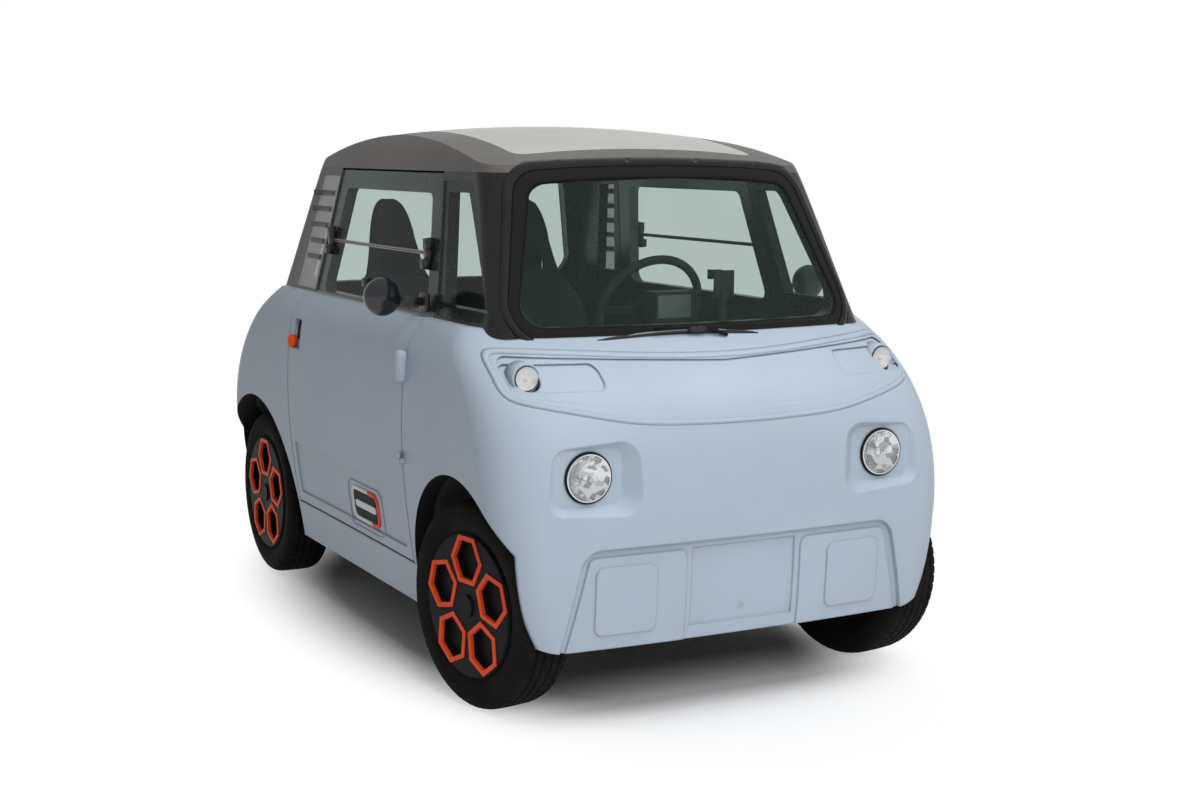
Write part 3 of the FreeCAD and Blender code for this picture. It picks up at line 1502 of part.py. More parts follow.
for end in ("front", "rear"):
    for side, word in ((LEFT, "left"), (RIGHT, "right")):
        spot = wheel_placement(end, side)
        tyre = turned_body(f"tyre_{end}_{word}", [
            (TYRE_BORE, "-tyre_bead_width / 2"),
            ("tyre_side_radius", "-tyre_width / 2"),
            ("tyre_radius", "-tyre_tread_width / 2"),
            ("tyre_radius", "tyre_tread_width / 2"),
            ("tyre_side_radius", "tyre_width / 2"),
            (TYRE_BORE, "tyre_bead_width / 2"),
        ])
        tyre.Placement = spot
        keep_object(f"tyre_{end}_{word}", tyre)
        wheel = turned_body(f"wheel_{end}_{word}", [
            ("spindle_radius + spindle_clearance", "hub_inner_face"),
            ("hub_radius", "hub_inner_face"),
            ("hub_radius", COVER_BACK),
            ("rim_radius - rim_wall", COVER_BACK),
            ("rim_radius - rim_wall", "-rim_width / 2"),
            ("rim_radius", "-rim_width / 2"),
            ("rim_radius", "cover_edge_face - cover_flange"),
            ("cover_radius", "cover_edge_face - cover_flange"),
            ("cover_radius", "cover_edge_face"),
            ("cover_radius - cover_edge_width", "cover_face"),
            ("hub_cap_radius", "cover_face"),
            ("hub_cap_radius", "hub_cap_face"),
            ("0", "hub_cap_face"),
            ("0", "hub_cap_face - hub_cap_wall"),
            ("spindle_radius + spindle_clearance", "hub_cap_face - hub_cap_wall"),
        ])
        outline = wheel.Group[0]
        pockets = []
        for name, radius, depth in (
            ("ring_seat", "(pocket_radius + pane_gap)", "ring_thickness - ring_proud + pane_gap"),
            ("pocket", "(pocket_radius - pocket_ring_width / hexagon_share)", "pocket_depth"),
        ):
            cell = outline_sketch(wheel, name + "_outline", "XZ_Plane", hexagon(radius), "-cover_face")
            pocket = wheel.newObject("PartDesign::Pocket", name)
            pocket.Profile = cell
            pocket.Reversed = True
            pocket.setExpression("Length", bound(depth))
            pockets.append(pocket)
        ring_of_pockets = wheel.newObject("PartDesign::PolarPattern", "ring_of_pockets")
        ring_of_pockets.Originals = pockets
        ring_of_pockets.Axis = (outline, ["V_Axis"])
        ring_of_pockets.Angle = 360
        ring_of_pockets.setExpression("Occurrences", "Sizes.pocket_count")
        wheel.Tip = ring_of_pockets
        wheel.Placement = spot
        keep_object(f"wheel_{end}_{word}", wheel)
        rings = []
        face_y = S.cover_face + S.ring_proud - S.ring_thickness
        for step in range(int(S.pocket_count)):
            loops = []
            for radius in (S.pocket_radius, S.pocket_radius - S.pocket_ring_width / S.hexagon_share + S.pane_gap):
                corners = [
                    Vector(radius * math.cos(math.radians(a)), face_y, S.pocket_spread + radius * math.sin(math.radians(a)))
                    for a in range(0, 360, 60)
                ]
                loops.append(prism(corners, ACROSS * S.ring_thickness))
            ring = loops[0].cut(loops[1])
            ring.rotate(Vector(), ACROSS, step * 360 / S.pocket_count)
            rings.append(ring)
        trim = Part.makeCompound(rings)
        trim.Placement = spot
        keep(f"wheel_trim_{end}_{word}", trim)

# Checks and files

doc.recompute()
for item in doc.Objects:
    bad = [word for word in item.State if word in ("Invalid", "Error")]
    if bad:
        raise RuntimeError(f"{item.Name} is {bad}")
os.makedirs("parts", exist_ok=True)
for label, feature in nodes.items():
    shape = feature.Shape
    if shape.isNull() or not shape.isValid() or not shape.Solids:
        raise RuntimeError(f"{label} has no sound shape")
    shape.exportStep(f"parts/{label}.step")
    print(label, len(shape.Solids), [round(v) for v in (
        shape.BoundBox.XMin, shape.BoundBox.YMin, shape.BoundBox.ZMin,
        shape.BoundBox.XMax, shape.BoundBox.YMax, shape.BoundBox.ZMax)])
print(len(nodes), "sub-parts written")
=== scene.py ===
# %% [markdown]
# # A two-seat city car, dressed for the studio
# The CAD model brings every rigid part at its real size and place. This lesson
# loads that frame, gives each part a finish of its own, and adds what CAD left
# plain: tyre tread, lamp glass, padded seats, smooth mirrors and small trim.

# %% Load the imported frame
import bpy, math
import bmesh
from mathutils import Matrix, Vector


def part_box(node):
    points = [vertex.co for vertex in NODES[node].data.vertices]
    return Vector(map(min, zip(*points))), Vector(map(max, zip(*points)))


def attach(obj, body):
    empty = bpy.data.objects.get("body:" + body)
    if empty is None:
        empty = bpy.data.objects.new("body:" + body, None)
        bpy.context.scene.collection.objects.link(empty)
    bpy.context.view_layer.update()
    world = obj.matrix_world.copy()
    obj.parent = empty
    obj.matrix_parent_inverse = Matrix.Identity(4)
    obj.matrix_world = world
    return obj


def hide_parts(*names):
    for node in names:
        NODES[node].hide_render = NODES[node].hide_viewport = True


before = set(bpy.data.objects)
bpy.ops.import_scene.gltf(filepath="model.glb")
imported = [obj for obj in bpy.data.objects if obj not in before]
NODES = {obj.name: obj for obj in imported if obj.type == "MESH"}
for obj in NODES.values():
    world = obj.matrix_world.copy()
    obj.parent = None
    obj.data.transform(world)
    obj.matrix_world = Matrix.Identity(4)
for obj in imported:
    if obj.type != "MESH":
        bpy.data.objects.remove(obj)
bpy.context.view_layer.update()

# %% [markdown]
# ## Camera
# The photograph was taken from ahead and to the right of the car, a little
# above its belt line. Its place and lens were found by fitting the wheels,
# lamps and roof line. The small shift stands for a photograph that was cropped
# off its own middle.

# %% Set the camera
CAMERA_PLACE = Vector((5.01788, -2.45274, 1.45862))
CAMERA_YAW, CAMERA_PITCH, CAMERA_ROLL = 2.65171, -0.15271, 0.00677
PHOTO_WIDTH, PHOTO_HEIGHT = 1200, 800
FOCAL_PIXELS = 1766.14
PHOTO_CENTRE = (606.96, 422.82)

looking = Vector((
    math.cos(CAMERA_PITCH) * math.cos(CAMERA_YAW),
    math.cos(CAMERA_PITCH) * math.sin(CAMERA_YAW),
    math.sin(CAMERA_PITCH),
))
level_right = looking.cross(Vector((0, 0, 1))).normalized()
level_up = level_right.cross(looking)
right = math.cos(CAMERA_ROLL) * level_right + math.sin(CAMERA_ROLL) * level_up
up = math.cos(CAMERA_ROLL) * level_up - math.sin(CAMERA_ROLL) * level_right

camera_data = bpy.data.cameras.new("studio_camera")
camera_data.sensor_width = 36
camera_data.lens = camera_data.sensor_width * FOCAL_PIXELS / PHOTO_WIDTH
camera_data.shift_x = (PHOTO_WIDTH / 2 - PHOTO_CENTRE[0]) / PHOTO_WIDTH
camera_data.shift_y = (PHOTO_CENTRE[1] - PHOTO_HEIGHT / 2) / PHOTO_WIDTH
camera = bpy.data.objects.new("studio_camera", camera_data)
camera.matrix_world = Matrix((
    (right.x, up.x, -looking.x, CAMERA_PLACE.x),
    (right.y, up.y, -looking.y, CAMERA_PLACE.y),
    (right.z, up.z, -looking.z, CAMERA_PLACE.z),
    (0, 0, 0, 1),
))
bpy.context.scene.collection.objects.link(camera)
bpy.context.scene.camera = camera
print("camera lens:", round(camera_data.lens, 1), "mm")

# %% [markdown]
# ## Light and backdrop
# A studio for a car is one big soft lamp above and a smaller one ahead of the
# nose, so that the body's curves read as slow changes of tone. The lamps don't
# show in mirror rays, because a bright rectangle in the windscreen would hide
# the cabin. The backdrop is white to the camera but lights the car only a
# little. The view transform is Standard, so a colour renders about as written.

# %% Light the studio
WORLD_LIGHT, MIRROR_SHARE = 0.19, 0.55
scene = bpy.context.scene
scene.view_settings.view_transform = "Standard"


def add_node(tree, kind, values=None, **settings):
    """A shader node with its settings and the values of its free inputs."""
    made = tree.nodes.new("ShaderNode" + kind)
    for name, value in settings.items():
        setattr(made, name, value)
    for name, value in (values or {}).items():
        made.inputs[name].default_value = value
    return made


def join(tree, *wires):
    """Links nodes: each wire is a node, its output, the next node and its input."""
    for source, output, target, socket in wires:
        tree.links.new(source.outputs[output], target.inputs[socket])


scene.world = bpy.data.worlds.new("studio_world")
scene.world.use_nodes = True
sky_tree = scene.world.node_tree
sky = sky_tree.nodes["Background"]
sky.inputs["Color"].default_value = (1, 1, 1, 1)
sky_ray = add_node(sky_tree, "LightPath")
camera_or_glass = add_node(sky_tree, "Math", operation="MAXIMUM")
mirror_ray = add_node(sky_tree, "Math", {1: MIRROR_SHARE}, operation="MULTIPLY_ADD")
backdrop_mix = add_node(sky_tree, "MapRange", {"To Min": WORLD_LIGHT, "To Max": 1.0})
join(
    sky_tree,
    (sky_ray, "Is Camera Ray", camera_or_glass, 0), (sky_ray, "Is Transmission Ray", camera_or_glass, 1),
    (sky_ray, "Is Glossy Ray", mirror_ray, 0), (camera_or_glass, 0, mirror_ray, 2),
    (mirror_ray, 0, backdrop_mix, "Value"), (backdrop_mix, "Result", sky, "Strength"),
)


def area_light(name, place, target, size, watts):
    """One soft rectangular lamp that faces a point."""
    data = bpy.data.lights.new(name, "AREA")
    data.shape = "RECTANGLE"
    data.size, data.size_y = size
    data.energy = watts
    lamp = bpy.data.objects.new(name, data)
    lamp.location = place
    lamp.rotation_euler = (Vector(target) - Vector(place)).to_track_quat("-Z", "Y").to_euler()
    lamp.visible_glossy = False
    scene.collection.objects.link(lamp)


area_light("overhead", (2.2, 0.3, 4.6), (0.3, 0, 0.6), (4.2, 3.4), 152)
area_light("nose_wall", (4.9, -0.5, 3.0), (0.6, 0, 0.7), (3.0, 2.0), 88)

# %% [markdown]
# ## Mesh helpers
# Most added pieces are turned or skinned over rings of points, so short helpers
# make them. A piece already rides on its CAD body when its helper has made it,
# because a piece that rides on nothing stops the script. The car is alike on
# both sides and, for the most part, at both ends, so loops run over these.

# %% Helpers that build pieces
SIDES = ((1, "left"), (-1, "right"))
ENDS = ((1, "front"), (-1, "rear"))


def build_piece(name, verts, faces, material, body, smooth=True):
    """A mesh object from points and faces that rides on a CAD body."""
    mesh = bpy.data.meshes.new(name)
    mesh.from_pydata([tuple(v) for v in verts], [], faces)
    mesh.validate()
    fix = bmesh.new()
    fix.from_mesh(mesh)
    bmesh.ops.recalc_face_normals(fix, faces=fix.faces)
    fix.to_mesh(mesh)
    fix.free()
    piece = bpy.data.objects.new(name, mesh)
    scene.collection.objects.link(piece)
    mesh.materials.append(material)
    if smooth:
        mesh.shade_smooth()
    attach(piece, body)
    return piece


def ring_faces(rings, count, closed_ring=True, closed_row=False):
    """Quads between rings of count points each, numbered ring by ring."""
    faces = []
    for r in range(rings if closed_row else rings - 1):
        s = (r + 1) % rings
        for i in range(count if closed_ring else count - 1):
            j = (i + 1) % count
            faces.append((r * count + i, r * count + j, s * count + j, s * count + i))
    return faces


def skin_piece(name, rings, material, body):
    """Closed rings of points, joined in order and capped at both ends."""
    count = len(rings[0])
    faces = ring_faces(len(rings), count)
    start = (len(rings) - 1) * count
    faces += [tuple(range(count))[::-1], tuple(range(start, start + count))]
    return build_piece(name, [point for ring in rings for point in ring], faces, material, body)


def turn_piece(name, profile, segments, place, axis, material, body, slot, closed=False, ripple=None, smooth=True):
    """A turned form: profile points are (distance along the axis, radius)."""
    axis = Vector(axis).normalized()
    side = axis.orthogonal().normalized()
    other = axis.cross(side)
    verts = []
    for step in range(segments):
        angle = 2 * math.pi * step / segments
        outward = side * math.cos(angle) + other * math.sin(angle)
        for along, radius in profile:
            if ripple:
                radius = ripple(step, along, radius)
            verts.append(Vector(place) + axis * along + outward * radius)
    faces = ring_faces(segments, len(profile), closed_ring=closed, closed_row=True)
    return build_piece(name, verts, faces, material, body, smooth)


def heading_at(line, k):
    """The direction of a row of points at one of them."""
    return (line[min(k + 1, len(line) - 1)] - line[max(k - 1, 0)]).normalized()


def modify(piece, name, kind, **settings):
    """Adds a modifier with its settings."""
    made = piece.modifiers.new(name, kind)
    for key, value in settings.items():
        setattr(made, key, value)


def add_bevel(piece, width):
    """Rounds a piece's sharp edges."""
    modify(piece, "rounded_edges", "BEVEL", width=width, segments=3, limit_method="ANGLE",
           angle_limit=math.radians(35), harden_normals=False)


def slab(name, low, high, material, body, bevel):
    """A rounded block between two corners."""
    xs, (y0, y1), (z0, z1) = zip(low, high)
    rings = [[Vector((x, y, z)) for y, z in ((y0, z0), (y1, z0), (y1, z1), (y0, z1))] for x in xs]
    add_bevel(skin_piece(name, rings, material, body), bevel)


print("helpers ready")

# %% [markdown]
# ## Finishes
# Every finish is procedural. A slow noise moves the colour a little, and a
# finer one moves the roughness and raises a grain, because moulded plastic,
# rubber and paint are never one flat tone. A value that is the same all over
# is set straight on the shader.

# %% Make the finishes
def grained(name, colour, roughness, grain=180.0, bump=0.06, tone=0.06, metallic=0.0, specular=0.5, coat=0.0,
            tone_scale=3.0, rough_swing=0.08):
    """A finish with slow changes of tone and a fine raised grain."""
    material = bpy.data.materials.new(name)
    material.use_nodes = True
    tree = material.node_tree
    shader = tree.nodes["Principled BSDF"]
    for socket, value in (("Metallic", metallic), ("Specular IOR Level", specular), ("Coat Weight", coat)):
        shader.inputs[socket].default_value = value
    place = add_node(tree, "TexCoord")
    cloud = add_node(tree, "TexNoise", {"Scale": tone_scale, "Detail": 5.0})
    tones = add_node(tree, "ValToRGB")
    for stop, position, share in zip(tones.color_ramp.elements, (0.3, 0.7), (1 - tone, 1 + tone)):
        stop.position = position
        stop.color = [min(c * share, 1) for c in colour] + [1]
    fine = add_node(tree, "TexNoise", {"Scale": grain, "Detail": 3.0})
    shine = add_node(tree, "MapRange", {"To Min": roughness - rough_swing, "To Max": roughness + rough_swing})
    raise_grain = add_node(tree, "Bump", {"Strength": bump, "Distance": 0.001})
    join(
        tree,
        (place, "Object", cloud, "Vector"), (cloud, "Fac", tones, "Fac"), (tones, "Color", shader, "Base Color"),
        (place, "Object", fine, "Vector"), (fine, "Fac", shine, "Value"), (shine, "Result", shader, "Roughness"),
        (fine, "Fac", raise_grain, "Height"), (raise_grain, "Normal", shader, "Normal"),
    )
    return material


def pane(name, colour, alpha, roughness=0.05, passes=(1.0, 1.0, 1.0)):
    """Tinted glass: mostly see-through, with faint streaks left by cleaning."""
    material = grained(name, colour, roughness, grain=14.0, bump=0.0, tone=0.10, specular=0.6, rough_swing=0.02)
    tree = material.node_tree
    shader = tree.nodes["Principled BSDF"]
    shader.inputs["IOR"].default_value = 1.52
    see_through = add_node(tree, "BsdfTransparent", {"Color": (*passes, 1)})
    share = add_node(tree, "MixShader", {"Fac": alpha})
    join(tree, (see_through, 0, share, 1), (shader, 0, share, 2), (share, 0, tree.nodes["Material Output"], "Surface"))
    return material


BODY_BLUE = (0.388, 0.456, 0.536)
RING_ORANGE = (0.86, 0.080, 0.014)
body_finish = grained("body_moulding", BODY_BLUE, 0.46, grain=420, bump=0.05, tone=0.035, specular=0.45)
soft_edge = add_node(body_finish.node_tree, "Bevel", {"Radius": 0.008}, samples=6)
join(body_finish.node_tree, (soft_edge, "Normal", body_finish.node_tree.nodes["Bump"], "Normal"))
black_trim = grained("black_trim", (0.018, 0.018, 0.020), 0.42, grain=300)
# The roof shell's black is lightened and its tone swings widely: both are painted sheen that stands in for the sky
# mirrored on it.
roof_black_with_painted_sheen = grained("roof_shell_black_painted_sheen", (0.088, 0.082, 0.074), 0.40, grain=380, bump=0.08, tone=0.25, specular=0.45)
frame_finish = grained("window_frame_black", (0.010, 0.010, 0.011), 0.28, grain=160, bump=0.0, specular=0.30)
# The door frames' warm grey is partly painted reflection: the black frame is lightened to stand in for the sky it
# mirrors.
door_frame_black_with_painted_sheen = grained("door_frame_black_painted_sheen", (0.060, 0.056, 0.050), 0.24, grain=120, bump=0.0, tone=0.12,
                            specular=0.6)
cabin_dark = grained("cabin_plastic", (0.040, 0.041, 0.044), 0.62, grain=240, bump=0.12)
floor_paint = grained("floor_paint", (0.030, 0.031, 0.034), 0.60, grain=90, bump=0.15, tone=0.25)
dark_steel = grained("suspension_paint", (0.022, 0.022, 0.025), 0.48, grain=120, bump=0.1, tone=0.2, metallic=0.3)
cast_metal = grained("cast_aluminium", (0.42, 0.43, 0.45), 0.42, grain=160, bump=0.25, tone=0.1, metallic=0.9)
battery_paint = grained("battery_case_paint", (0.10, 0.10, 0.11), 0.5, grain=150, tone=0.1)
tyre_rubber = grained("tyre_rubber", (0.0125, 0.0115, 0.0108), 0.82, grain=260, bump=0.2, tone=0.35,
                      specular=0.06, tone_scale=9.0)
wheel_black = grained("wheel_plastic", (0.0085, 0.0085, 0.0095), 0.55, grain=260, bump=0.02, tone=0.15, specular=0.08)
ring_paint = grained("ring_orange", RING_ORANGE, 0.48, grain=200, bump=0.02, tone=0.05, specular=0.20)
seat_cover = grained("seat_cover", (0.074, 0.077, 0.078), 0.74, grain=520, bump=0.35, tone=0.2, specular=0.3)
seat_shell = grained("seat_shell", (0.042, 0.043, 0.044), 0.52, grain=260, bump=0.1, tone=0.1)
bar_metal = grained("flap_bar", (0.26, 0.245, 0.235), 0.38, grain=200, tone=0.06, metallic=0.4)
pale_grey = grained("display_grey", (0.25, 0.28, 0.285), 0.42, grain=120, bump=0.0, tone=0.05)
dash_top = grained("dash_plastic", (0.150, 0.158, 0.154), 0.55, grain=240, bump=0.08, tone=0.12)
mirror_black = grained("mirror_shell", (0.009, 0.010, 0.014), 0.20, grain=320, bump=0.0, tone=0.1, coat=0.25)
chrome = grained("lamp_chrome", (0.80, 0.81, 0.83), 0.12, grain=60, bump=0.02, tone=0.03, metallic=1.0,
                 rough_swing=0.03)
white_paint = grained("white_inlay", (0.72, 0.74, 0.76), 0.45, grain=200, tone=0.02)
seal_rubber = grained("seal_rubber", (0.010, 0.010, 0.011), 0.66, grain=200, specular=0.15)
border_print = grained("screen_border_print", (0.009, 0.010, 0.009), 0.30, grain=40, bump=0.0, tone=0.05,
                       specular=0.12, rough_swing=0.02)
window_glass = pane("window_glass", (0.030, 0.048, 0.038), 0.17, passes=(0.955, 1.0, 0.982))
rear_quarter_glass = pane("rear_quarter_glass", (0.62, 0.64, 0.60), 0.55)
# The roof pane's pale colour is partly painted reflection: it stands in for the sky mirrored in the glass.
roof_pane_glass_painted_sky = pane("roof_pane_glass_painted_sky", (0.44, 0.44, 0.405), 0.94, roughness=0.14)
lamp_glass = pane("lamp_glass", (0.80, 0.82, 0.84), 0.16)
red_lens = grained("red_lens", (0.42, 0.012, 0.012), 0.16, grain=90, bump=0.15, tone=0.1, coat=0.6)
print("finishes:", len(bpy.data.materials))

# %% [markdown]
# ## Finishes on the CAD parts
# The rigid parts keep their CAD shape, so each one only gets its finish. The
# list follows the car from the outside to the inside and then underneath.

# %% Dress the rigid parts
WHEELS = [f"{end}_{side}" for _, end in ENDS for _, side in SIDES]
FINISHES = (
    (body_finish, ("end_panels", "sills", "door_panel_left", "door_panel_right")),
    (frame_finish, ("pillar_frame",)),
    (door_frame_black_with_painted_sheen, ("door_frame_left", "door_frame_right")),
    (roof_black_with_painted_sheen, ("roof_shell",)),
    (roof_pane_glass_painted_sky, ("roof_glass",)),
    (window_glass, ("windscreen", "rear_window", "quarter_glass", "door_glass_left", "door_glass_right")),
    (red_lens, ("tail_lamps",)),
    (wheel_black, [f"wheel_{wheel}" for wheel in WHEELS]),
    (ring_paint, [f"wheel_trim_{wheel}" for wheel in WHEELS]),
    (black_trim, ("wiper", "steering_column")),
    (dash_top, ("dashboard",)),
    (cabin_dark, ("seat_base", "arch_liners")),
    (floor_paint, ("platform",)),
    (dark_steel, ("front_suspension", "rear_suspension", "knuckle_left", "knuckle_right")),
    (cast_metal, ("motor_block",)),
    (battery_paint, ("battery_block",)),
)


def dress(node, material):
    """Gives every face of a CAD node one finish."""
    mesh = NODES[node].data
    mesh.materials.clear()
    mesh.materials.append(material)
    for polygon in mesh.polygons:
        polygon.material_index = 0


for material, nodes in FINISHES:
    for node in nodes:
        dress(node, material)
print("dressed", sum(len(nodes) for _, nodes in FINISHES), "rigid parts")

# %% [markdown]
# ## Dark inner faces
# The real mouldings and doors are pale outside only. A second, dark skin could
# be laid inside them, but the CAD mesh stays as it is when faces are chosen by
# where they look: those that look at a wheel's hub or into the cabin are dark.
# The rear quarter panes are hazed in the same way, and the orange rings are made
# a little fuller by two modifiers.

# %% Darken the inner faces
WHEEL_X, TYRE_RADIUS = 0.864, 0.2785
ARCH_REACH, ROOM_DEPTH = 0.43, 0.12
FACES_HUB, FACES_CABIN, FACES_INWARD = 0.75, 0.55, 0.5
CABIN_LEAN, CABIN_HEIGHT = 0.5, 0.75
RING_FULLNESS = 0.0018


def dress_some(part, material, chosen):
    """Gives one more finish to the faces that a test chooses, and counts them."""
    mesh = part.data
    mesh.materials.append(material)
    picked = [polygon for polygon in mesh.polygons if chosen(polygon)]
    for polygon in picked:
        polygon.material_index = len(mesh.materials) - 1
    return len(picked)


def in_arch(polygon):
    """Whether a face looks at the hub of the wheel beside it."""
    spot = polygon.center
    to_hub = Vector((math.copysign(WHEEL_X, spot.x) - spot.x, 0, TYRE_RADIUS - spot.z))
    return to_hub.length < ARCH_REACH and polygon.normal.dot(to_hub.normalized()) > FACES_HUB


def in_cabin(polygon):
    """Whether a face that isn't in an arch looks into open room towards the cabin."""
    spot, facing = polygon.center, polygon.normal
    to_cabin = Vector((-CABIN_LEAN * spot.x, -spot.y, CABIN_HEIGHT - spot.z)).normalized()
    if polygon.material_index or facing.dot(to_cabin) <= FACES_CABIN:
        return False
    hit, place = moulding.ray_cast(spot + facing * 0.001, facing)[:2]
    return not hit or (place - spot).length > ROOM_DEPTH


moulding = NODES["end_panels"]
arch_faces = dress_some(moulding, seal_rubber, in_arch)
inner_faces = dress_some(moulding, cabin_dark, in_cabin)
dress_some(NODES["quarter_glass"], rear_quarter_glass, lambda polygon: polygon.center.x < 0)
for sign, side in SIDES:
    dress_some(NODES[f"door_panel_{side}"], cabin_dark, lambda polygon: polygon.normal.y * sign < -FACES_INWARD)
for wheel in WHEELS:
    modify(NODES[f"wheel_trim_{wheel}"], "joined_corners", "WELD", merge_threshold=0.0001)
    modify(NODES[f"wheel_trim_{wheel}"], "fuller_ring", "DISPLACE", mid_level=0.0, strength=RING_FULLNESS)
print(arch_faces, "arch faces and", inner_faces, "inner faces are dark")

# %% [markdown]
# ## Studio floor
# The floor is one pale sheet. Close to the car it takes the car's shade, and further out it fades to the backdrop's
# white, so that no horizon shows.

# %% Lay the floor
FLOOR_REACH = 40
FLOOR_SHADE_REACH = (1.36, 0.70)
FLOOR_LIT_SHARE, FLOOR_WHITE_SHARE = 0.82, 1.32
floor_corners = [(x * FLOOR_REACH, y * FLOOR_REACH, 0) for x, y in ((-1, -1), (1, -1), (1, 1), (-1, 1))]
floor_mesh = bpy.data.meshes.new("studio_floor")
floor_mesh.from_pydata(floor_corners, [], [(0, 1, 2, 3)])
studio_floor = bpy.data.objects.new("studio_floor", floor_mesh)
scene.collection.objects.link(studio_floor)

floor_finish = grained("studio_floor", (0.92, 0.925, 0.93), 0.9, grain=6, bump=0.0, tone=0.01, specular=0.1)
floor_tree = floor_finish.node_tree
floor_place = add_node(floor_tree, "TexCoord")
footprint = add_node(floor_tree, "Mapping", {"Scale": (1 / FLOOR_SHADE_REACH[0], 1 / FLOOR_SHADE_REACH[1], 1)})
from_car = add_node(floor_tree, "VectorMath", operation="LENGTH")
fade = add_node(floor_tree, "MapRange", {"From Min": FLOOR_LIT_SHARE, "From Max": FLOOR_WHITE_SHARE},
                interpolation_type="SMOOTHSTEP")
floor_ray = add_node(floor_tree, "LightPath")
seen = add_node(floor_tree, "Math", operation="MAXIMUM")
through = add_node(floor_tree, "Math", operation="MAXIMUM")
white_share = add_node(floor_tree, "Math", operation="MULTIPLY")
white_glow = add_node(floor_tree, "Emission")
floor_mix = add_node(floor_tree, "MixShader")
join(
    floor_tree,
    (floor_place, "Object", footprint, "Vector"), (footprint, "Vector", from_car, 0),
    (from_car, "Value", fade, "Value"), (floor_ray, "Is Camera Ray", seen, 0), (floor_ray, "Is Glossy Ray", seen, 1),
    (seen, 0, through, 0), (floor_ray, "Is Transmission Ray", through, 1),
    (fade, "Result", white_share, 0), (through, 0, white_share, 1), (white_share, 0, floor_mix, "Fac"),
    (floor_tree.nodes["Principled BSDF"], 0, floor_mix, 1), (white_glow, 0, floor_mix, 2),
    (floor_mix, 0, floor_tree.nodes["Material Output"], "Surface"),
)
floor_mesh.materials.append(floor_finish)
print("floor reaches", FLOOR_REACH, "m")

# %% [markdown]
# ## Tyres
# A tyre is a turned form, so its section is drawn once and spun round the
# wheel's axis. Four grooves run round the tread, and short cuts across the
# shoulders repeat round the wheel. The front wheels stand at a small steer
# angle, so their axis is turned by the same angle.

# %% Spin the tyres
BEAD_RADIUS, TREAD_HALF, TREAD_FOOT = 0.1783, 0.05, 0.262
TREAD_PITCHES, STEPS_PER_PITCH = 62, 6
GROOVES = (-0.039, -0.0135, 0.0135, 0.039)
GROOVE_DEPTH, GROOVE_HALF, GROOVE_LIP, CROWN_DROP = 0.0062, 0.0034, 0.0006, 0.0022
SHOULDER_CUT, BLOCK_CUT = 0.0035, 0.0022
HUB_HALF_TRACK, KINGPIN_HALF_TRACK = 0.5825, 0.5675
STEER_REST = math.radians(9.4)
TYRE_SIDE = [
    (-0.060, BEAD_RADIUS), (-0.0635, 0.186), (-0.0660, 0.194), (-0.0705, 0.203), (-0.0740, 0.214),
    (-0.0762, 0.226), (-0.0768, 0.236), (-0.0760, 0.247), (-0.0735, 0.257), (-0.0700, 0.264),
    (-0.0660, 0.2690), (-0.0615, 0.2725), (-0.0560, 0.2750), (-0.0490, 0.2768),
]


def tyre_section():
    """Half-open outline of the tyre from one bead over the tread to the other."""
    tread = []
    for groove in GROOVES:
        crown = TYRE_RADIUS - 0.5 * (groove / TREAD_HALF) ** 2 * CROWN_DROP
        tread += [
            (groove - GROOVE_HALF - GROOVE_LIP, crown),
            (groove - GROOVE_HALF, crown - GROOVE_LIP),
            (groove - GROOVE_HALF * 0.7, crown - GROOVE_DEPTH),
            (groove + GROOVE_HALF * 0.7, crown - GROOVE_DEPTH),
            (groove + GROOVE_HALF, crown - GROOVE_LIP),
            (groove + GROOVE_HALF + GROOVE_LIP, crown),
        ]
    return TYRE_SIDE + tread + [(-x, r) for x, r in reversed(TYRE_SIDE)]


def shoulder_cuts(step, along, radius):
    """Presses a narrow cut into the tread and shoulders once every pitch."""
    across = abs(along)
    if radius < TREAD_FOOT or radius < TYRE_RADIUS - GROOVE_DEPTH * 0.75 and across < TREAD_HALF:
        return radius
    phase = step + (0 if along > 0 else STEPS_PER_PITCH // 2)
    if across > 0.042:
        return radius - (SHOULDER_CUT if phase % STEPS_PER_PITCH == 0 else 0)
    if 0.017 < across < 0.036:
        return radius - (BLOCK_CUT if (phase + 1) % STEPS_PER_PITCH == 0 else 0)
    return radius


def wheel_frame(end, sign):
    """A wheel's centre and its axis pointing outwards."""
    if end == "rear":
        return Vector((-WHEEL_X, sign * HUB_HALF_TRACK, TYRE_RADIUS)), Vector((0, sign, 0))
    axis = Vector((-math.sin(STEER_REST), math.cos(STEER_REST), 0)) * sign
    pin = Vector((WHEEL_X, sign * KINGPIN_HALF_TRACK, TYRE_RADIUS))
    return pin + axis * (HUB_HALF_TRACK - KINGPIN_HALF_TRACK), axis


for _, end in ENDS:
    for sign, side in SIDES:
        centre, axis = wheel_frame(end, sign)
        tyre = turn_piece(
            f"tread_tyre_{end}_{side}", tyre_section(), TREAD_PITCHES * STEPS_PER_PITCH, centre, axis,
            tyre_rubber, f"wheel_body_{end}_{side}", "tyre", closed=True, ripple=shoulder_cuts,
        )
        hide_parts(f"tyre_{end}_{side}")
print("tyres have", len(tyre.data.polygons), "faces each")
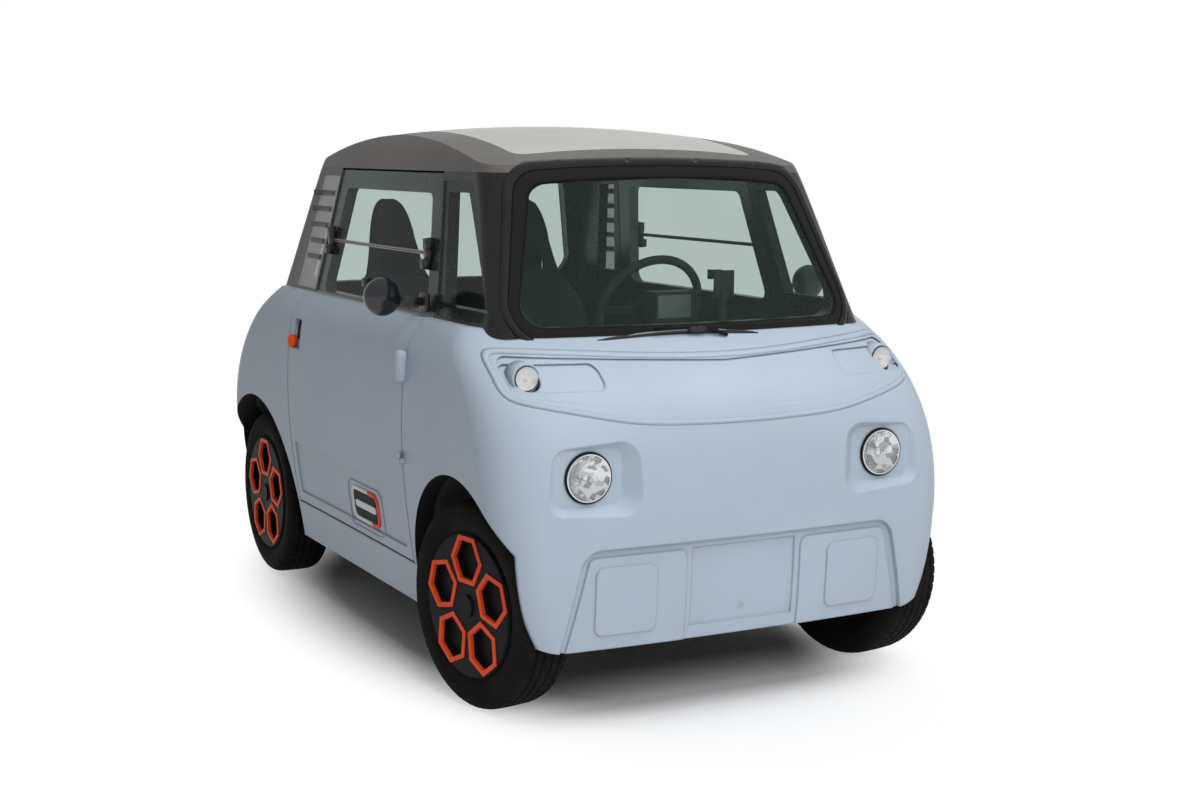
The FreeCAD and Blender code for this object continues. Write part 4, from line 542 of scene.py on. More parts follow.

# %% [markdown]
# ## Bright bowls
# A real headlamp's bowl is pressed into small facets, and each mirrors another part of the room. All of them could be
# modelled, but dark and bright cells painted into a bright metal's colour give most of that look without any faces, as
# painted reflections.

# %% Make the bowl's finish with painted reflections
bowl_painted_reflections = grained("bowl_facets_painted_reflections", (0.80, 0.81, 0.83), 0.10, grain=60, bump=0.02, tone=0.03, metallic=1.0,
                     rough_swing=0.03)
facet_tree = bowl_painted_reflections.node_tree
# Dark and bright cells in the base colour are painted reflections of the room.
cells = add_node(facet_tree, "TexVoronoi", {"Scale": 62.0})
cell_grey = add_node(facet_tree, "SeparateColor")
painted_reflection_ramp = add_node(facet_tree, "ValToRGB")
dark_stop, bright_stop = painted_reflection_ramp.color_ramp.elements
dark_stop.position, bright_stop.position = 0.25, 0.55
dark_stop.color, bright_stop.color = (0.10, 0.10, 0.11, 1), (0.86, 0.87, 0.88, 1)
join(
    facet_tree,
    (facet_tree.nodes["Texture Coordinate"], "Object", cells, "Vector"), (cells, "Color", cell_grey, "Color"),
    (cell_grey, "Red", painted_reflection_ramp, "Fac"), (painted_reflection_ramp, "Color", facet_tree.nodes["Principled BSDF"], "Base Color"),
)
print("bowl finish:", bowl_painted_reflections.name)

# %% [markdown]
# ## Round lamps
# Each headlamp is a clear glass over a bright bowl. The bowl is turned with its radius rippled, so the larger facets
# are real and catch the light. A gap ring, painted dark to stand in for the shade in the gap, and a thin bezel close
# the edge, and a small core stands in the middle.

# %% Build the headlamps
FACET_DEPTH, FACET_PITCH, GLASS_THICK = 0.05, 520, 0.003
LAMP_SET_BACK = 0.008
HEADLAMP_RADIUS, HEADLAMP_SPREAD, HEADLAMP_HEIGHT = 0.0655, 0.450, 0.650


def lens_rings(radius, dome, steps=7):
    """Section of a shallow domed glass, from its rim to its middle."""
    return [(dome * (1 - (k / steps) ** 2) ** 0.5 if k < steps else 0, radius * k / steps)
            for k in range(steps, -1, -1)]


def round_lamp(name, place, radius, bowl_depth, dome, slot, bowl_material):
    """A faceted bowl, a gap ring painted dark as shade, a bright bezel, a domed glass and a core."""
    axis = (1 if place[0] > 0 else -1, 0, 0)
    outer, inner, steps = radius * 0.945, radius * 0.885, 9

    def facets(step, along, r):
        wave = math.cos(step * math.pi / 2) * math.cos(r * FACET_PITCH)
        return r * (1 + FACET_DEPTH * wave) if r > radius * 0.2 else r

    def turn(part, section, segments, material, **options):
        return turn_piece(f"{name}_{part}", section, segments, place, axis, material, "car_body", slot, **options)

    section = [(-bowl_depth * (1 - (k / steps) ** 2), inner * k / steps) for k in range(steps, -1, -1)]
    bowl = turn("bowl", section, 48, bowl_material, ripple=facets, smooth=False)
    modify(bowl, "bowl_wall", "SOLIDIFY", thickness=0.001)
    # The gap ring is real geometry, and its dark rubber is painted shade that stands in for the shadow in the gap
    # round the lamp.
    gap = [(-0.016, radius), (-0.001, radius), (-0.002, outer - 0.001), (-0.016, outer - 0.001)]
    turn("gap_ring_painted_shade", gap, 72, seal_rubber, closed=True)
    bezel = [(-0.012, outer), (0.001, outer), (0.0022, (outer + inner) / 2), (0.001, inner), (-0.012, inner)]
    turn("bezel", bezel, 72, chrome, closed=True)
    glass = lens_rings(inner - 0.0004, dome)
    turn("glass", glass + [(a - GLASS_THICK, r) for a, r in reversed(glass)], 64, lamp_glass, closed=True)
    core = ((0.95, 0.16), (0.45, 0.16), (0.35, 0.12), (0.33, 0.0))
    turn("core", [(-bowl_depth * deep, radius * wide) for deep, wide in core], 32, bowl_material)
    return bowl


HEADLAMP_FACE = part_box("headlamps")[1].x - LAMP_SET_BACK
headlamps = [
    round_lamp(f"headlamp_{side}", (HEADLAMP_FACE, sign * HEADLAMP_SPREAD, HEADLAMP_HEIGHT), HEADLAMP_RADIUS,
               0.030, 0.0085, "clear_lamp", bowl_painted_reflections)
    for sign, side in SIDES
]
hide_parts("headlamps")
print("headlamp face at x", round(HEADLAMP_FACE, 3))

# %% [markdown]
# ## Turn and rear lamps
# The small round lamps in the upper band use the same builder with a shallower
# bowl, and a collar in the body's colour stands round each. The rear ones sit
# on the same moulding turned half round.

# %% Build the small lamps
TURN_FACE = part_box("turn_lamps")[1].x - LAMP_SET_BACK
TURN_RADIUS, TURN_SPREAD, TURN_HEIGHT = 0.0330, 0.552, 0.889
lamp_bowl_white = grained("small_lamp_bowl", (0.78, 0.76, 0.74), 0.30, grain=80, bump=0.25, tone=0.12,
                          tone_scale=60.0)
collar = [(-0.003, TURN_RADIUS), (-0.003, TURN_RADIUS + 0.004), (-0.006, TURN_RADIUS + 0.0065),
          (-0.055, TURN_RADIUS + 0.0085), (-0.055, TURN_RADIUS)]
for facing, end in ENDS:
    for sign, side in SIDES:
        place = (facing * TURN_FACE, sign * TURN_SPREAD, TURN_HEIGHT)
        round_lamp(
            f"turn_lamp_{end}_{side}", place, TURN_RADIUS, 0.012, 0.005, "turn_lamp_lens", lamp_bowl_white)
        turn_piece(f"turn_lamp_{end}_collar_{side}", collar, 64, place, (facing, 0, 0), body_finish,
                   "car_body", "turn_lamp_lens", closed=True)
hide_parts("turn_lamps")

# %% [markdown]
# ## Mirrors
# Each mirror is a near-round shell on a thin arm, with a square foot on the
# door's window frame and a few soft ribs round the arm's root. A turned section
# gives the ball, cut flat at the back where the mirror glass sits.

# %% Build the mirrors
BALL_RADIUS, BALL_FLATNESS = 0.054, 0.62
MIRROR_X, MIRROR_Z, FOOT_X, FOOT_Z = 0.424, 1.057, 0.452, 1.040
FOOT_HALF, ARM_RADIUS = 0.026, 0.0075
mirror_glass = grained("mirror_glass", (0.78, 0.80, 0.82), 0.04, grain=40, bump=0.0, tone=0.02, metallic=1.0,
                       rough_swing=0.02)
ball_section = [(-0.0130, 0.0), (-0.0130, 0.046), (-0.0155, 0.0475), (-0.0165, 0.0505)]
ball_section += [(BALL_RADIUS * BALL_FLATNESS * math.sin(a), BALL_RADIUS * math.cos(a))
                 for a in [math.radians(degrees) for degrees in range(-12, 91, 6)]]
glass_disc = [(-0.0135, 0.0), (-0.0142, 0.0455), (-0.0132, 0.0455), (-0.0128, 0.0)]
for sign, side in SIDES:
    body = f"door_body_{side}"
    low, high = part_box(f"mirror_{side}")
    foot_y, outer = sorted((abs(low[1]), abs(high[1])))
    centre = Vector((MIRROR_X, sign * (outer - BALL_RADIUS), MIRROR_Z))
    ball = turn_piece(f"mirror_ball_{side}", ball_section, 72, centre, (1, 0, 0), mirror_black, body, "mirror_shell")
    turn_piece(f"mirror_face_{side}", glass_disc, 64, centre, (1, 0, 0), mirror_glass, body, "mirror_shell")
    slab(
        f"mirror_foot_{side}",
        (FOOT_X - FOOT_HALF, sign * (foot_y + 0.004), FOOT_Z - FOOT_HALF),
        (FOOT_X + FOOT_HALF, sign * (foot_y + 0.020), FOOT_Z + FOOT_HALF),
        black_trim, body, 0.006,
    )
    arm_path = [
        Vector((FOOT_X, sign * (foot_y + 0.016), FOOT_Z)),
        Vector((FOOT_X - 0.006, sign * (foot_y + 0.045), FOOT_Z + 0.008)),
        Vector((MIRROR_X + 0.006, centre.y - sign * 0.040, MIRROR_Z - 0.004)),
    ]
    rings = []
    for k, point in enumerate(arm_path):
        ahead = heading_at(arm_path, k)
        aside = ahead.orthogonal().normalized()
        rings.append([point + (aside * math.cos(a) + ahead.cross(aside) * math.sin(a)) * ARM_RADIUS
                      for a in [math.pi * i / 8 for i in range(16)]])
    skin_piece(f"mirror_arm_{side}", rings, black_trim, body)
    for rib in range(4):
        start = Vector((FOOT_X - 0.004, sign * (foot_y + 0.020 + rib * 0.006), FOOT_Z + 0.002))
        rib_section = [(0, 0.0), (0, 0.013 - rib * 0.001), (0.003, 0.013 - rib * 0.001), (0.003, 0.0)]
        turn_piece(f"mirror_rib_{side}_{rib}", rib_section, 32, start, (0, sign, 0), seal_rubber, body, "mirror_shell")
    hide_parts(f"mirror_{side}")
print("mirror ball radius:", BALL_RADIUS)

# %% [markdown]
# ## Steering wheel
# The real rim is round in section, and its CAD stand-in is six-sided. A ring
# turned about the tilted steering axis replaces it, with a turned hub pad and
# three rounded spokes.

# %% Build the steering wheel
STEER_CENTRE = Vector((0.285, 0.215, 0.982))
STEER_TILT = math.radians(25)
RIM_RADIUS, RIM_THICK = 0.168, 0.0135
SPOKE_ROOT, SPOKE_WIDTH, SPOKE_THICK = 0.03, 0.036, 0.012
steer_axis = Vector((-math.cos(STEER_TILT), 0, math.sin(STEER_TILT)))
steer_up = Vector((math.sin(STEER_TILT), 0, math.cos(STEER_TILT)))
steer_side = Vector((0, 1, 0))
rim_section = [(RIM_THICK * math.sin(a), RIM_RADIUS + RIM_THICK * math.cos(a))
               for a in [math.pi * i / 9 for i in range(18)]]
rim = turn_piece("steering_rim", rim_section, 96, STEER_CENTRE, steer_axis, seat_cover, "steering_body", "black_trim",
                 closed=True)
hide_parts("steering_wheel")


def spoke(name, direction, reach):
    """A flat spoke from the hub out to the rim, wider at its root."""
    across = steer_axis.cross(direction).normalized()
    rings = []
    for k in range(6):
        t = k / 5
        half = SPOKE_WIDTH * (1 - 0.35 * math.sin(t * math.pi / 1.3)) / 2
        sag = steer_axis * 0.006 * math.sin(t * math.pi)
        middle = STEER_CENTRE + direction * (SPOKE_ROOT + (reach - SPOKE_ROOT) * t) - sag
        face = steer_axis * SPOKE_THICK / 2
        rings.append([middle + across * half + face, middle - across * half + face,
                      middle - across * half - face, middle + across * half - face])
    add_bevel(skin_piece(name, rings, cabin_dark, "steering_body"), 0.003)


for name, direction in (("left", steer_side), ("right", -steer_side), ("low", -steer_up)):
    spoke(f"steering_spoke_{name}", direction, RIM_RADIUS - 0.004)
hub_section = [(-0.020, 0.0), (-0.020, 0.040), (-0.012, 0.050), (0.010, 0.052), (0.019, 0.044), (0.022, 0.030),
               (0.023, 0.0)]
turn_piece("steering_hub_pad", hub_section, 48, STEER_CENTRE, steer_axis, cabin_dark, "steering_body", "black_trim")
print("steering wheel across:", 2 * (RIM_RADIUS + RIM_THICK))

# %% [markdown]
# ## Seat pads
# Each seat carries three thin pads: a cushion, a back and a tapered head pad.
# They could be blown up as cloth, but a sweep is surer: at each station an oval
# section of its own width and depth is set square to the seat's line, and
# subdivision then crowns the pad. That is why so few stations are enough.

# %% Helpers for the seat pads
PAD_AHEAD = 0.012
CUSHION = ((0.010, 0.452, 0.150, 0.016), (0.018, 0.456, 0.188, 0.030), (0.070, 0.462, 0.205, 0.037),
           (0.200, 0.459, 0.210, 0.037), (0.330, 0.456, 0.209, 0.037), (0.425, 0.458, 0.200, 0.036),
           (0.450, 0.460, 0.180, 0.026))
BACKREST = [(0.480, 0.165, 0.016), (0.492, 0.190, 0.030), (0.580, 0.200, 0.036), (0.700, 0.200, 0.033),
            (0.810, 0.196, 0.033), (0.900, 0.184, 0.033), (0.955, 0.166, 0.032), (1.000, 0.132, 0.028),
            (1.028, 0.098, 0.018), (1.034, 0.070, 0.008)]
HEAD_PAD = [(1.118, 0.052, 0.010), (1.126, 0.070, 0.020), (1.160, 0.072, 0.027), (1.200, 0.065, 0.027),
            (1.237, 0.055, 0.025), (1.265, 0.042, 0.020)]


def oval(centre, across, normal, half_width, half_depth, power=2.6, count=20):
    """A rounded-rectangle ring set square to the seat's line."""
    ring = []
    for i in range(count):
        a = 2 * math.pi * i / count
        c, s = math.cos(a), math.sin(a)
        x = math.copysign(abs(c) ** (2 / power), c) * half_width
        y = math.copysign(abs(s) ** (2 / power), s) * half_depth
        ring.append(centre + across * x + normal * y)
    return ring


def seat_pad(name, stations, side_y):
    """A padded sweep through (x, z, half width, half depth) stations."""
    line = [Vector((x, side_y, z)) for x, z, _, _ in stations]
    across = Vector((0, 1, 0))
    rings = []
    for k, (_, _, half_width, half_depth) in enumerate(stations):
        normal = heading_at(line, k).cross(across).normalized()
        rings.append(oval(line[k], across, normal, half_width, half_depth))
    piece = skin_piece(name, rings, seat_cover, "car_body")
    modify(piece, "crown", "SUBSURF", levels=2, render_levels=2)
    return piece


def back_line(back, z):
    """How far back the seat's line lies at a height: it leans towards the top."""
    return back - 0.035 - (z - 0.470) * 0.265


def back_stations(back, rows):
    """Stations that follow the seat's back, from (z, half width, half depth) rows."""
    return [(back_line(back, z) + PAD_AHEAD, z, half, depth) for z, half, depth in rows]


print("stations in the pads:", len(CUSHION), len(BACKREST), len(HEAD_PAD) + 1)

# %% [markdown]
# ## Seat shells
# The pads lie on a hard moulded shell that narrows to a head part, with a slot
# below it. The slot could be cut out of a solid, but a grid of quads with the
# slot left open, thickened into a wall, keeps clean edges.

# %% Helpers for the seat shells
SHELL_BEHIND, SHELL_WRAP = 0.024, 0.030
SLOT_LOW, SLOT_HIGH, SLOT_HALF = 1.045, 1.108, 0.052
SHELL_COLUMNS, SLOT_COLUMNS = 14, 3
SHELL_ROWS = [(0.470, 0.170), (0.490, 0.198), (0.580, 0.208), (0.700, 0.208), (0.810, 0.204), (0.900, 0.192),
              (0.960, 0.170), (1.005, 0.138), (1.040, 0.110), (1.080, 0.098), (1.122, 0.090), (1.160, 0.083),
              (1.200, 0.075), (1.237, 0.064), (1.262, 0.054)]


def half_width_at(rows, z):
    """A table's half width at a height between two of its rows."""
    for (z0, h0), (z1, h1) in zip(rows, rows[1:]):
        if z0 <= z <= z1:
            half = h0 + (h1 - h0) * (z - z0) / (z1 - z0)
    return half


def column_y(share, z, half):
    """How far out a column of the shell stands. Beside the slot, columns keep to its edges."""
    if not SLOT_LOW <= z <= SLOT_HIGH:
        return share * half
    inner = min(SLOT_COLUMNS, abs(round(share * SHELL_COLUMNS / 2)))
    if inner < SLOT_COLUMNS:
        return math.copysign(SLOT_HALF * inner / SLOT_COLUMNS, share)
    beyond = abs(share) * SHELL_COLUMNS / 2 - SLOT_COLUMNS
    return math.copysign(SLOT_HALF + (half - SLOT_HALF) * beyond / (SHELL_COLUMNS / 2 - SLOT_COLUMNS), share)


def back_shell(name, back, side_y, top):
    """The seat's moulded back as a grid of quads with its slot left open."""
    rows = SHELL_ROWS + [(top - 0.012, 0.040), (top - 0.003, 0.022)]
    levels = sorted({z for z, _ in rows} | {SLOT_LOW, SLOT_HIGH})
    verts, faces = [], []
    for z in levels:
        half = half_width_at(rows, z)
        for c in range(SHELL_COLUMNS + 1):
            y = column_y(2 * c / SHELL_COLUMNS - 1, z, half)
            wrap = SHELL_WRAP * (abs(y) / max(half, 0.09)) ** 2 * (1 if z < 1.0 else 0.4)
            verts.append((back_line(back, z) - SHELL_BEHIND + wrap, side_y + y, z))
    for r, (z0, z1) in enumerate(zip(levels, levels[1:])):
        for c in range(SHELL_COLUMNS):
            if SLOT_LOW < (z0 + z1) / 2 < SLOT_HIGH and abs(c + 0.5 - SHELL_COLUMNS / 2) < SLOT_COLUMNS:
                continue
            a = r * (SHELL_COLUMNS + 1) + c
            faces.append((a, a + 1, a + SHELL_COLUMNS + 2, a + SHELL_COLUMNS + 1))
    shell = build_piece(name, verts, faces, seat_shell, "car_body")
    modify(shell, "shell_wall", "SOLIDIFY", thickness=0.012, offset=0)
    modify(shell, "shell_smooth", "SUBSURF", levels=1, render_levels=1)


print("columns in a shell:", SHELL_COLUMNS)

# %% [markdown]
# ## Seats
# The two seats are the same pieces, set at their own places. The passenger's
# stands a little further back. A dark plate closes each slot from behind.

# %% Set the seats in place
SEATS = {"driver_seat": (0.080, 0.215), "passenger_seat": (-0.010, -0.250)}
SEAT_DEPTH = 0.440
for node, (front, side_y) in SEATS.items():
    word = node.split("_")[0]
    back, top = front - SEAT_DEPTH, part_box(node)[1].z
    cushion = seat_pad(f"{word}_cushion", [(front - dx, z, half, depth) for dx, z, half, depth in CUSHION], side_y)
    seat_pad(f"{word}_backrest", back_stations(back, BACKREST), side_y)
    seat_pad(f"{word}_head_pad", back_stations(back, HEAD_PAD + [(top - 0.010, 0.030, 0.010)]), side_y)
    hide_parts(node)
    back_shell(f"{word}_seat_shell", back, side_y, top)
    slot_x = back_line(back, (SLOT_LOW + SLOT_HIGH) / 2)
    slab(f"{word}_seat_slot_back", (slot_x - 0.046, side_y - 0.062, SLOT_LOW - 0.012),
         (slot_x - 0.040, side_y + 0.062, SLOT_HIGH + 0.012), seal_rubber, "car_body", 0.002)
print("seat pads: 6, seat shells: 2")

# %% [markdown]
# ## Places on the surfaces
# Small trim lies on curved panes and panels. Its places could be worked out by
# hand, but a ray cast at the part from beside or ahead of the car finds the
# surface itself. A closed outline becomes a band and a row of points a strip.

# %% Helpers that follow a surface
BESIDE_Y, BEYOND_X, SUNK = 1.2, 2.0, 0.0008


def first_hit(parts, start, heading):
    """Where a ray first meets any of the parts, and that surface's normal."""
    start, found = Vector(start), []
    for part in parts:
        hit, place, normal, _ = part.ray_cast(start, Vector(heading))
        if hit:
            found.append(((place - start).length, place, normal))
    return min(found, key=lambda one: one[0])[1:] if found else None


def from_side(part, x, z, sign, spare_y):
    """A place and normal on the car's side, or a plain spare one where the ray misses."""
    found = first_hit([part], (x, sign * BESIDE_Y, z), (0, -sign, 0))
    return found or (Vector((x, sign * spare_y, z)), Vector((0, sign, 0)))


def rounded_loop(corners, radius, steps=8):
    """Points round a polygon with rounded corners, as 2-D vectors."""
    loop = []
    for k, corner in enumerate(corners):
        here = Vector(corner)
        to_before = (Vector(corners[k - 1]) - here).normalized()
        to_after = (Vector(corners[(k + 1) % len(corners)]) - here).normalized()
        half = to_before.angle(to_after) / 2
        centre = here + (to_before + to_after).normalized() * radius / math.sin(half)
        start = here + to_before * radius / math.tan(half) - centre
        finish = here + to_after * radius / math.tan(half) - centre
        for s in range(steps + 1):
            loop.append(centre + start.lerp(finish, s / steps).normalized() * radius)
    return loop


def spread_evenly(loop, count):
    """The same closed loop as count points an equal way apart."""
    closed = loop + [loop[0]]
    lengths = [(b - a).length for a, b in zip(closed, closed[1:])]
    step, out, walked, k = sum(lengths) / count, [], 0.0, 0
    for i in range(count):
        target = i * step
        while walked + lengths[k] < target:
            walked += lengths[k]
            k += 1
        share = (target - walked) / max(lengths[k], 1e-9)
        out.append(closed[k].lerp(closed[k + 1], share))
    return out


def band_on_face(name, parts, loops, lifts, to_start, heading, material, body):
    """A closed band laid on a surface. Where a ray misses, the last place stands in."""
    verts, last = [], None
    for i in range(len(loops[0])):
        for loop, lift in zip(loops, lifts):
            last = first_hit(parts, to_start(loop[i]), heading) or last
            verts.append(last[0] + last[1] * lift)
    faces = ring_faces(len(loops[0]), len(loops), closed_row=True)
    return build_piece(name, verts, faces, material, body)


def end_band(name, parts, loops, lifts, facing, material):
    """A closed band cast onto the nose or the tail through (y, z) loops."""
    band_on_face(name, parts, loops, lifts, lambda point: (facing * BEYOND_X, point.x, point.y),
                 (-facing, 0, 0), material, "car_body")


def strip_on_side(name, part, points, sign, half_height, rise, material, body):
    """A thin raised strip that follows the part's surface through (x, z) points."""
    outer = [from_side(part, x, z, sign, 0.55)[0] for x, z in points]
    rings = []
    for k, place in enumerate(outer):
        along = heading_at(outer, k)
        upward = along.cross(Vector((0, sign, 0))).normalized()
        outward = upward.cross(along).normalized()
        if outward.y * sign < 0:
            outward = -outward
        foot, crest = place - outward * 0.001, place + outward * rise
        rings.append([foot - upward * half_height, crest - upward * half_height * 0.8,
                      crest + upward * half_height * 0.8, foot + upward * half_height])
    skin_piece(name, rings, material, body)


print("surface helpers ready")

# %% [markdown]
# ## Window trim
# Each door window has a flap: a thin bar crosses it at mid height between two
# hinge blocks, and a small catch sits near its lower edge. All of them lie on
# the pane's outer face.

# %% Add the window bars
BAR_LEVEL = 1.172
for sign, side in SIDES:
    body, glass = f"door_body_{side}", NODES[f"door_glass_{side}"]
    bar = [(-0.40 + 0.80 * k / 16, BAR_LEVEL) for k in range(17)]
    strip_on_side(f"window_bar_{side}", glass, bar, sign, 0.0055, 0.004, bar_metal, body)
    strip_on_side(f"window_bar_groove_{side}", glass, bar, sign, 0.0012, 0.0046, seal_rubber, body)
    for end, x in (("front", 0.405), ("rear", -0.405)):
        for level, dz, half, deep in (("upper", 0.026, 0.018, 0.020), ("lower", -0.030, 0.016, 0.020),
                                      ("middle", 0.0, 0.024, 0.013)):
            block = [(x - 0.015, BAR_LEVEL + dz), (x + 0.015, BAR_LEVEL + dz)]
            strip_on_side(f"window_hinge_{end}_{level}_{side}", glass, block, sign, half, deep, black_trim, body)
    catch = [(sign * 0.04 - 0.014, 1.060), (sign * 0.04 + 0.014, 1.060)]
    strip_on_side(f"window_catch_{side}", glass, catch, sign, 0.016, 0.012, black_trim, body)
print("flap bar at z", BAR_LEVEL)

# %% [markdown]
# ## Rear quarter slats
# The rear quarter panes are hazed and carry dark cross bars. The bars are
# thin strips on the pane, each a little narrower than the one below.

# %% Add the slats
SLATS, SLAT_LOW, SLAT_STEP = 5, 1.11, 0.052
slat_finish = grained("slat_print", (0.10, 0.11, 0.11), 0.5, grain=150, bump=0.0, tone=0.04, specular=0.2)
for sign, side in SIDES:
    for k in range(SLATS):
        level = SLAT_LOW + SLAT_STEP * k
        inner = -0.500 - (SLAT_LOW - level) * 0.20
        outer = -0.672 - (SLAT_LOW - level) * 0.30
        points = [(outer + (inner - outer) * i / 6, level) for i in range(7)]
        strip_on_side(f"quarter_slat_{side}_{k}", NODES["quarter_glass"], points, sign, 0.009, 0.002, slat_finish,
                      "car_body")
print("slats:", 2 * SLATS)

# %% [markdown]
# ## Rings and patches on a door
# The vent in each door is a raised ring round a flat field. Both have rounded
# corners and follow the door's curve, so one outline is cast onto the door at
# several sizes: four of them make a ring, and five filled in make a patch.

# %% Helpers for rings and patches
def rounded_box_loop(cx, cz, half_x, half_z, corner, count=72):
    """A rounded rectangle on the car's side as evenly spread (x, z) points."""
    corners = [(cx + a * half_x, cz + b * half_z) for a, b in ((-1, -1), (1, -1), (1, 1), (-1, 1))]
    return spread_evenly(rounded_loop(corners, corner), count)


def side_ring(name, door, box, corner, width, rise, material):
    """A raised rounded ring on a door. The box is its middle and half sizes."""
    (part, sign, body), (cx, cz, half_x, half_z) = door, box
    loops = [rounded_box_loop(cx, cz, half_x - inset, half_z - inset, max(corner - inset, 0.004))
             for inset in (0, width * 0.12, width * 0.88, width)]
    return band_on_face(name, [part], loops, (-SUNK, rise, rise, -SUNK),
                        lambda point: (point.x, sign * BESIDE_Y, point.y), (0, -sign, 0), material, body)


def side_patch(name, door, box, corner, rise, material):
    """A thin filled rounded patch that follows a door's surface."""
    (part, sign, body), (cx, cz, half_x, half_z) = door, box
    verts, count = [], 48
    for share, lift in ((1.0, -SUNK), (0.985, rise), (0.7, rise), (0.4, rise), (0.1, rise)):
        for point in rounded_box_loop(cx, cz, half_x * share, half_z * share, corner * share, count):
            place, normal = from_side(part, point.x, point.y, sign, 0.6)
            verts.append(place + normal * lift)
    faces = ring_faces(5, count) + [tuple(range(4 * count, 5 * count))]
    build_piece(name, verts, faces, material, body)


print("ring and patch helpers ready")

# %% [markdown]
# ## Door trim
# Small things give the door its look: the orange pull below the handle recess
# at its opening edge, a dark insert in that recess, a rounded cover at the
# hinge, a seal above the door, and the round-cornered vent frame low down, with
# a pale bar across a dark field and one orange end.

# %% Add the door pull and vent
VENT_X, VENT_Z, VENT_HALF_X, VENT_HALF_Z, VENT_CORNER = 0.140, 0.410, 0.112, 0.053, 0.034
COVER_LOW, COVER_HIGH, COVER_RADIUS, COVER_ROUND = 0.824, 0.916, 0.018, 0.013
pull_section = [(-0.010, 0.0), (-0.010, 0.019), (0.004, 0.022), (0.010, 0.019), (0.013, 0.012), (0.014, 0.0)]
cover = [(0, 0.0)] + [(COVER_ROUND * (1 - math.cos(a)), COVER_RADIUS * math.sin(a))
                      for a in [math.pi * k / 16 for k in range(1, 9)]]
cover += [(COVER_HIGH - COVER_LOW - along, radius) for along, radius in reversed(cover)]
for sign, side in SIDES:
    body, part, flip = f"door_body_{side}", NODES[f"door_panel_{side}"], -sign
    door, middle = (part, sign, body), flip * VENT_X
    side_ring(f"vent_edge_{side}", door, (middle, VENT_Z - 0.004, 0.146, 0.072), VENT_CORNER, 0.006, 0.003,
              body_finish)
    side_patch(f"vent_field_{side}", door, (middle, VENT_Z, VENT_HALF_X - 0.006, VENT_HALF_Z - 0.004), 0.030, 0.0015,
               seal_rubber)
    ring = side_ring(f"vent_ring_{side}", door, (middle, VENT_Z, VENT_HALF_X, VENT_HALF_Z), VENT_CORNER, 0.013, 0.0045,
                     white_paint)
    dress_some(ring, ring_paint, lambda polygon: (
        (polygon.center.x - middle) * flip > 0.036 + 0.15 * (VENT_Z - polygon.center.z)))
    side_patch(f"vent_bar_{side}", door, (middle, VENT_Z, 0.084, 0.0105), 0.003, 0.0040, white_paint)
    side_patch(f"handle_insert_{side}", door, (-flip * 0.440, 0.884, 0.020, 0.030), 0.010, 0.0015, seal_rubber)
    pull = first_hit([part], (-flip * 0.468, sign * BESIDE_Y, 0.846), (0, -sign, 0))[0]
    turn_piece(f"door_pull_{side}", pull_section, 40, pull, (0, sign, 0), ring_paint, body, "light_trim")
    turn_piece(f"hinge_cover_{side}", cover, 40, (flip * 0.503, sign * 0.6880, COVER_LOW), (0, 0, 1), body_finish,
               body, "body_colour")
    slab(f"door_head_seal_{side}", (-0.49, sign * 0.462, 1.386), (0.49, sign * 0.474, 1.4035), seal_rubber,
         "car_body", 0.002)
print("door trim on both sides")

# %% [markdown]
# ## Screen surround
# A thick black profile runs round the windscreen, and a black border is printed
# on the glass inside it. Both follow the curved glass, so their points are cast
# onto it from ahead, with the same outline made a little larger or smaller for
# each line of the section. Its top is a shallow arch. The rear screen is the
# same pane.

# %% Lay the screen seals and borders
SCREEN_LOW, SCREEN_HIGH, SCREEN_RISE = 0.955, 1.414, 0.018
SCREEN_HALF_LOW, SCREEN_HALF_HIGH, SCREEN_CORNER = 0.560, 0.448, 0.096
SEAL_STEPS = 240


def screen_loop(grow):
    """The screen's outline in (y, z), arched at the top and made larger by grow."""
    arch = [(share * SCREEN_HALF_HIGH, SCREEN_HIGH + SCREEN_RISE * (1 - share**2) + grow)
            for share in (0.6, 0.3, 0, -0.3, -0.6)]
    corners = [
        (-SCREEN_HALF_LOW - grow, SCREEN_LOW - grow), (SCREEN_HALF_LOW + grow, SCREEN_LOW - grow),
        (SCREEN_HALF_HIGH + grow, SCREEN_HIGH + grow), *arch, (-SCREEN_HALF_HIGH - grow, SCREEN_HIGH + grow),
    ]
    return spread_evenly(rounded_loop(corners, max(SCREEN_CORNER + grow, 0.02)), SEAL_STEPS)


for (facing, end), screen in zip(ENDS, ("windscreen", "rear_window")):
    parts = [NODES[screen], NODES["pillar_frame"], NODES["roof_shell"]]
    seal_loops = [screen_loop(grow) for grow in (0.013, 0.010, 0.004, -0.003, -0.009, -0.012)]
    end_band(f"screen_seal_{end}", parts, seal_loops, (-0.001, 0.0035, 0.0060, 0.0060, 0.0035, -0.001),
             facing, frame_finish)
    border_loops = [screen_loop(grow) for grow in (-0.006, -0.016, -0.026, -0.036, -0.047)]
    end_band(f"screen_border_{end}", parts[:1], border_loops, (0.0002, 0.0006, 0.0006, 0.0006, 0.0002),
             facing, border_print)
print("screen seals have", SEAL_STEPS, "steps")

# %% [markdown]
# ## Lamp band
# The band across the nose is set off by a rounded bead that runs round it. It
# is a small raised line in the body's own colour, cast onto the panel from
# ahead. A small round boss stands in the number plate's field. The tail carries
# the same moulding.

# %% Raise the bead round the lamp band
BOSS_HEIGHT = 0.277
half_band = [
    (0.0, 0.774), (0.142, 0.7755), (0.2915, 0.7815), (0.378, 0.795), (0.4996, 0.8195), (0.588, 0.836), (0.622, 0.850),
    (0.622, 0.900), (0.619, 0.945), (0.585, 0.951), (0.480, 0.947), (0.354, 0.941), (0.224, 0.934), (0.071, 0.929),
]
band_outline = [Vector(point) for point in half_band] + [Vector((-y, z)) for y, z in reversed(half_band) if y > 0]


